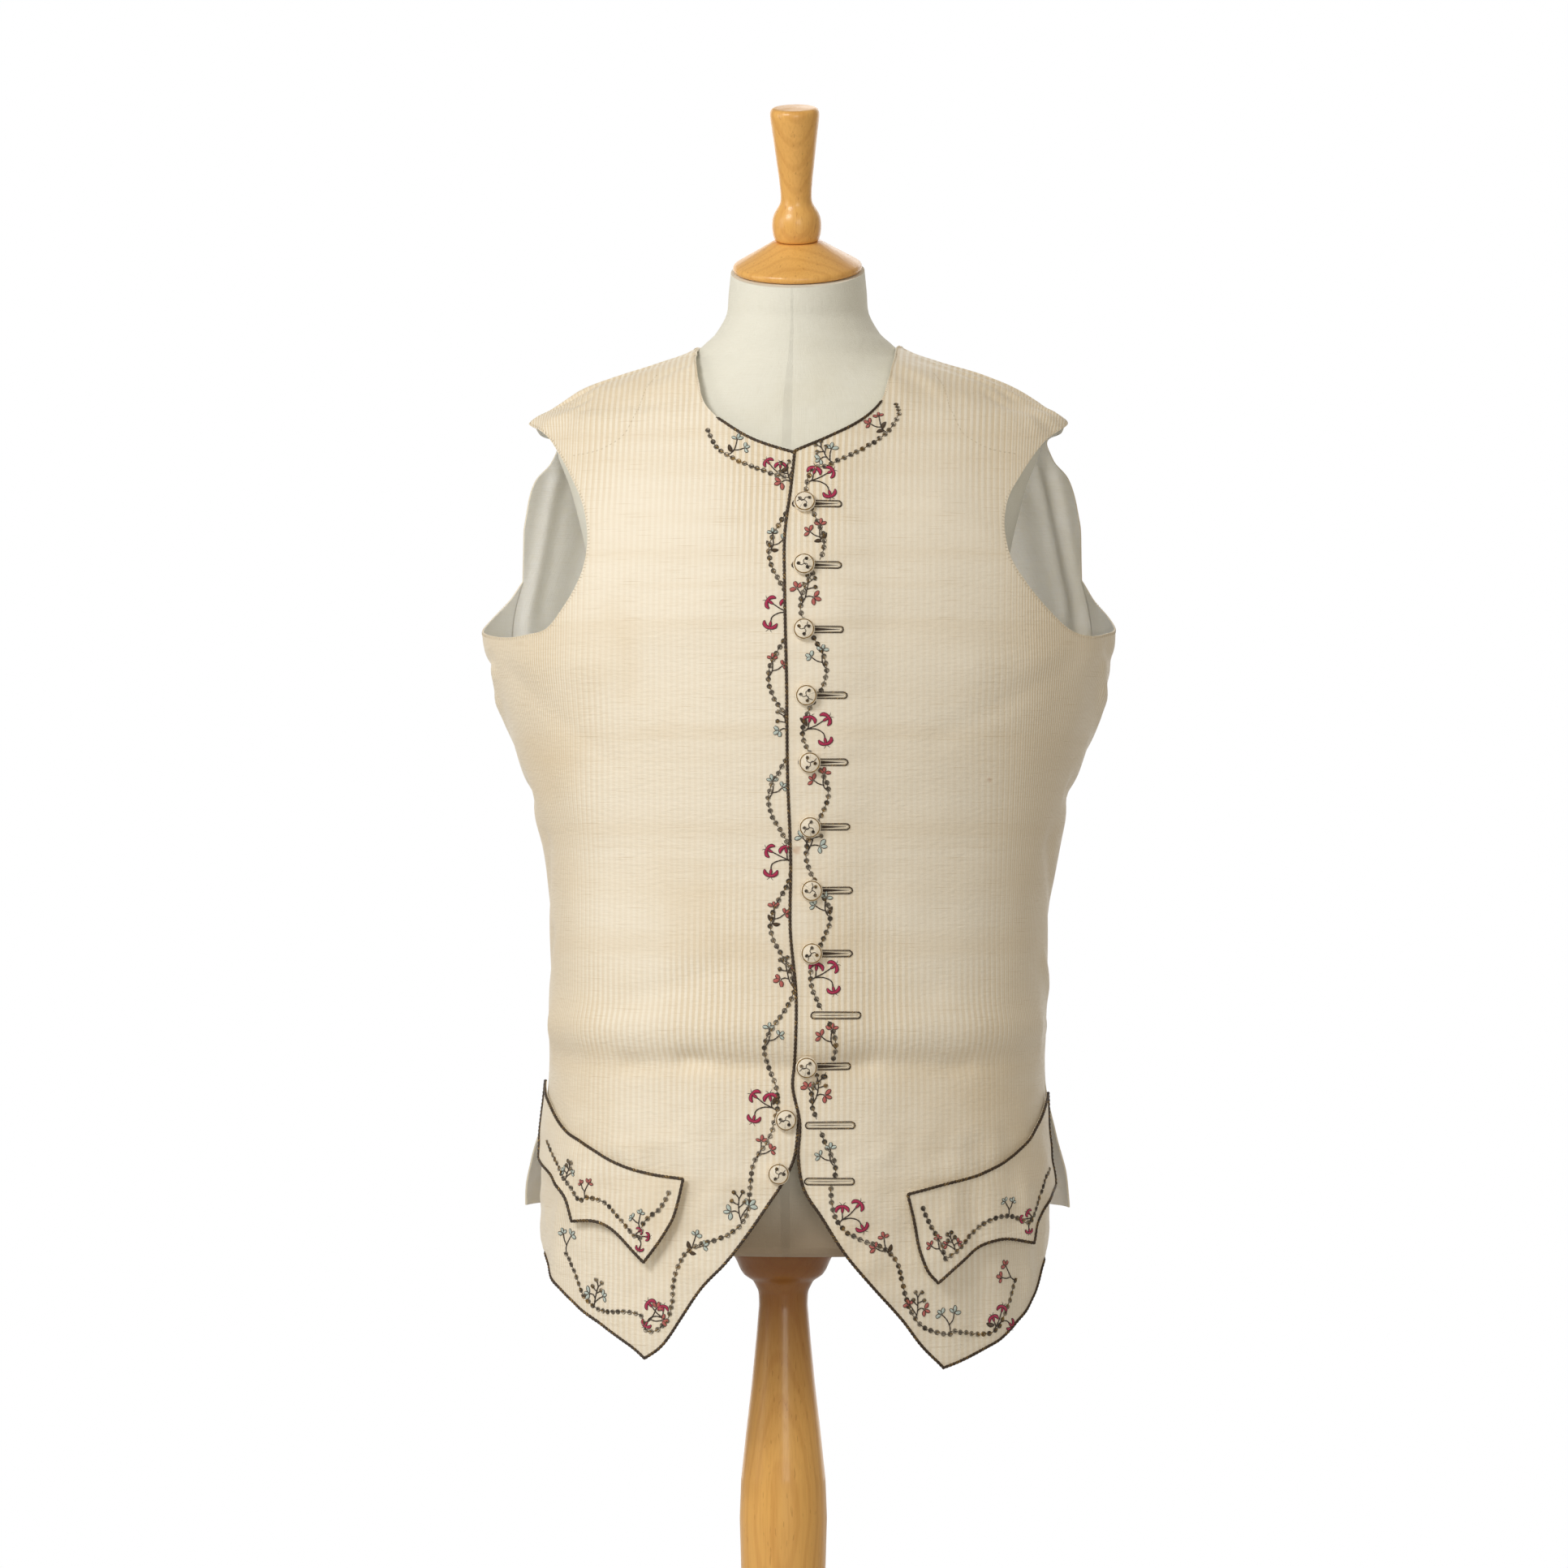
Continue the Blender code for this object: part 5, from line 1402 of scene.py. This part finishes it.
def add_stand(wood):
    knob_profile = ((0.0, KNOB_PROFILE[0][1]), *KNOB_PROFILE)
    top = Vector(NECK_TOP)
    c, s = math.cos(NECK_LEAN), math.sin(NECK_LEAN)
    tilt = np.array([[1.0, 0.0, 0.0], [0.0, c, s], [0.0, -s, c]])
    base = np.array(top) + np.array([0.0, -s, c]) * TOUCH_GAP

    def on_neck(points):
        return base + points @ tilt

    def on_pole(points):
        return points + (POLE_X, 0.0, 0.0)

    for name, node, profile, place in (
        ("turned_cap", "neck_cap", CAP_PROFILE, on_neck),
        ("turned_knob", "finial_knob", knob_profile, on_neck),
        ("turned_pole", "stand_pole", POLE_PROFILE, on_pole),
        ("turned_base", "stand_base", BASE_PROFILE, on_pole),
    ):
        piece = lathe(name, profile, wood, 96, 0.0015 if node != "stand_base" else 0.003, place)
        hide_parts(node)


# The scene

CLOTH_SILK = silk("cream_silk")
LINING = linen("white_linen_lining", srgb(247, 245, 238), srgb(228, 220, 200), lets_light=True)
BACK_LINEN = linen("plain_back_linen", srgb(232, 224, 204), srgb(218, 205, 178))
# The form's cover gets painted shade towards its lower edge, where it sits under the waistcoat's skirts.
CALICO = linen("calico_cover", srgb(238, 236, 222), srgb(226, 221, 200), srgb(142, 114, 80))
WOOD = beech("varnished_beech")
BUTTON_SILK = silk("button_silk")
THREADS = [
    thread("brown_thread", srgb(72, 50, 26), srgb(38, 26, 14)),
    thread("crimson_thread", srgb(226, 54, 108), srgb(160, 26, 66)),
    thread("rose_thread", srgb(230, 132, 122), srgb(182, 86, 80)),
    thread("aqua_thread", srgb(230, 240, 232), srgb(192, 210, 200)),
    thread("olive_thread", srgb(100, 72, 34), srgb(56, 40, 18)),
    thread("teal_thread", srgb(26, 112, 86), srgb(10, 56, 44)),
    spangle_shader("tarnished_spangle"),
    thread("gilt_thread", srgb(196, 158, 84), srgb(112, 82, 34), metallic=0.6, roughness=0.4),
    cord_shader("wound_cord"),
    thread("cream_thread", srgb(240, 230, 208), srgb(206, 188, 152)),
]


def add_waistcoat():
    panels = {}
    for side, hand, flap in ((WEARERS_LEFT, "left", LEFT_FLAP), (WEARERS_RIGHT, "right", RIGHT_FLAP)):
        mirrored = side == WEARERS_RIGHT
        front = Panel(side, front_loop(side), front_height)
        back = Panel(side, back_loop(), back_height)
        pocket = Panel(side, flap_loop(side, flap), flap_height)
        panels[side] = front
        for kind, panel, outer, slot in (
            ("front", front, CLOTH_SILK, "silk"),
            ("back", back, BACK_LINEN, "linen"),
            ("pocket_flap", pocket, CLOTH_SILK, "silk"),
        ):
            panel.build(f"cloth_{kind}_{hand}", outer, LINING, f"{kind}_{hand}", slot)

        work = Needlework()
        add_front_work(work, side)
        add_cord(work, stitched_edge(side))
        if side == WEARERS_LEFT:
            add_buttonholes(work, side)
        armhole = edges_of(side)[2]
        rim = resampled(by_degrees(UNDERARM) + armhole + by_degrees([SHOULDER_TIP]), 0.002)
        rim = np.stack([FIGURE.girth(side, rim[:, 0] / FLAT_RADIUS, rim[:, 1]), rim[:, 1]], axis=1)
        add_whip_stitches(work, rim, 0.0026, 0.0017)
        neck = resampled(by_degrees([(98.0, 1.3990)]) + by_x(side, NECKLINE[:5]), 0.002)
        neck = np.stack([FIGURE.girth(side, neck[:, 0] / FLAT_RADIUS, neck[:, 1]), neck[:, 1]], axis=1)
        add_whip_stitches(work, neck, 0.0024, 0.0015)
        yoke = on_cloth(side, SHOULDER_LINE)
        add_running_stitches(work, yoke)
        work.wrap(front.wrap)
        stitched = work.build(f"embroidery_front_{hand}", mirrored, THREADS)

        work = Needlework()
        add_flap_work(work, side)
        rim = pocket.loop
        rim = np.concatenate([rim, rim[:1]])
        rim = np.stack([FIGURE.girth(side, rim[:, 0] / FLAT_RADIUS, rim[:, 1]), rim[:, 1]], axis=1)
        add_cord(work, rim, closed=True)
        work.wrap(pocket.wrap)
        flap_work = work.build(f"embroidery_flap_{hand}", mirrored, THREADS)

    return panels


SHOULDER_LINE = (  # own x, z: the quilted line that carries the shoulder's padding
    (0.1050, 1.3750), (0.1150, 1.3560), (0.1200, 1.3420), (0.1270, 1.3280),
    (0.1420, 1.3180), (0.1700, 1.3120),
)

form = add_form(CALICO)
add_stand(WOOD)
PANELS = add_waistcoat()
for number, x, z, fastened in BUTTONS:
    under = PANELS[WEARERS_LEFT if fastened else WEARERS_RIGHT]
    add_button(number, x, z, fastened, under, BUTTON_SILK, THREADS)


FLOOR_HALF_WIDTH, FLOOR_FRONT, FLOOR_REAR, FLOOR_Z = 8.0, -8.0, 2.6, -0.0002
CAMERA_TARGET, CAMERA_AZIMUTH, CAMERA_DISTANCE = (-0.0105, 0.0, 1.065), 3.5, 3.5  # m, degrees, m
CAMERA_LENS, CAMERA_SENSOR = 105.2, 36.0  # mm
WORLD_GLOW, WORLD_SEEN = (0.36, 0.332, 0.288, 1.0), (1.0, 1.0, 1.0, 1.0)
WHITE = (1.0, 1.0, 1.0)
LIGHT_TARGET = (0.0, 0.0, 1.10)
LIGHTS = (  # name, place, width and height, watts, colour
    ("key", (-1.5, -2.0, 2.6), (1.1, 0.9), 36, WHITE),
    ("fill", (0.7, -3.6, 1.4), (1.2, 1.4), 22, (1.0, 0.96, 0.90)),
    ("rear", (0.6, 2.2, 3.0), (1.6, 1.0), 7, WHITE),
    ("panel", (0.0, 3.4, 1.7), (6.0, 3.4), 80, WHITE),
    ("side", (-3.0, -1.0, 1.6), (1.2, 1.6), 15, (1.0, 0.97, 0.92)),
)


def add_stage():
    """A plain floor that ends short of the picture's lower edge, with white space beyond it."""
    left, right = -FLOOR_HALF_WIDTH, FLOOR_HALF_WIDTH
    corners = [(left, FLOOR_FRONT), (right, FLOOR_FRONT), (right, FLOOR_REAR), (left, FLOOR_REAR)]
    mesh = bpy.data.meshes.new("pale_floor")
    mesh.from_pydata([(x, y, FLOOR_Z) for x, y in corners], [], [[0, 1, 2, 3]])
    mesh.materials.append(floor_shader())
    made = bpy.data.objects.new("pale_floor", mesh)
    bpy.context.scene.collection.objects.link(made)


def add_light(name, place, size, power, tone):
    light = bpy.data.lights.new(name, "AREA")
    light.shape = "RECTANGLE"
    light.size, light.size_y = size
    light.energy = power
    light.color = tone
    made = bpy.data.objects.new(name, light)
    made.location = place
    made.rotation_euler = (Vector(LIGHT_TARGET) - Vector(place)).to_track_quat("-Z", "Y").to_euler()
    made.visible_camera = False
    bpy.context.scene.collection.objects.link(made)


def add_camera():
    lens = bpy.data.cameras.new("camera")
    lens.sensor_width = CAMERA_SENSOR
    lens.lens = CAMERA_LENS
    made = bpy.data.objects.new("camera", lens)
    target, azimuth = Vector(CAMERA_TARGET), math.radians(CAMERA_AZIMUTH)
    made.location = target + Vector((math.sin(azimuth), -math.cos(azimuth), 0.0)) * CAMERA_DISTANCE
    made.rotation_euler = (target - made.location).to_track_quat("-Z", "Y").to_euler()
    bpy.context.scene.collection.objects.link(made)
    bpy.context.scene.camera = made


def add_world():
    """A dim warm glow on the object, and white where the camera sees past it."""
    world = bpy.data.worlds.new("studio")
    world.use_nodes = True
    nodes, links = world.node_tree.nodes, world.node_tree.links
    seen = nodes.new("ShaderNodeMix")
    seen.data_type = "RGBA"
    seen.inputs[6].default_value = WORLD_GLOW
    seen.inputs[7].default_value = WORLD_SEEN
    links.new(nodes.new("ShaderNodeLightPath").outputs["Is Camera Ray"], seen.inputs[0])
    links.new(seen.outputs[2], nodes["Background"].inputs["Color"])
    bpy.context.scene.world = world


add_stage()
for name, place, size, power, tone in LIGHTS:
    add_light(name, place, size, power, tone)
add_camera()
add_world()
bpy.context.scene.view_settings.view_transform = "Standard"
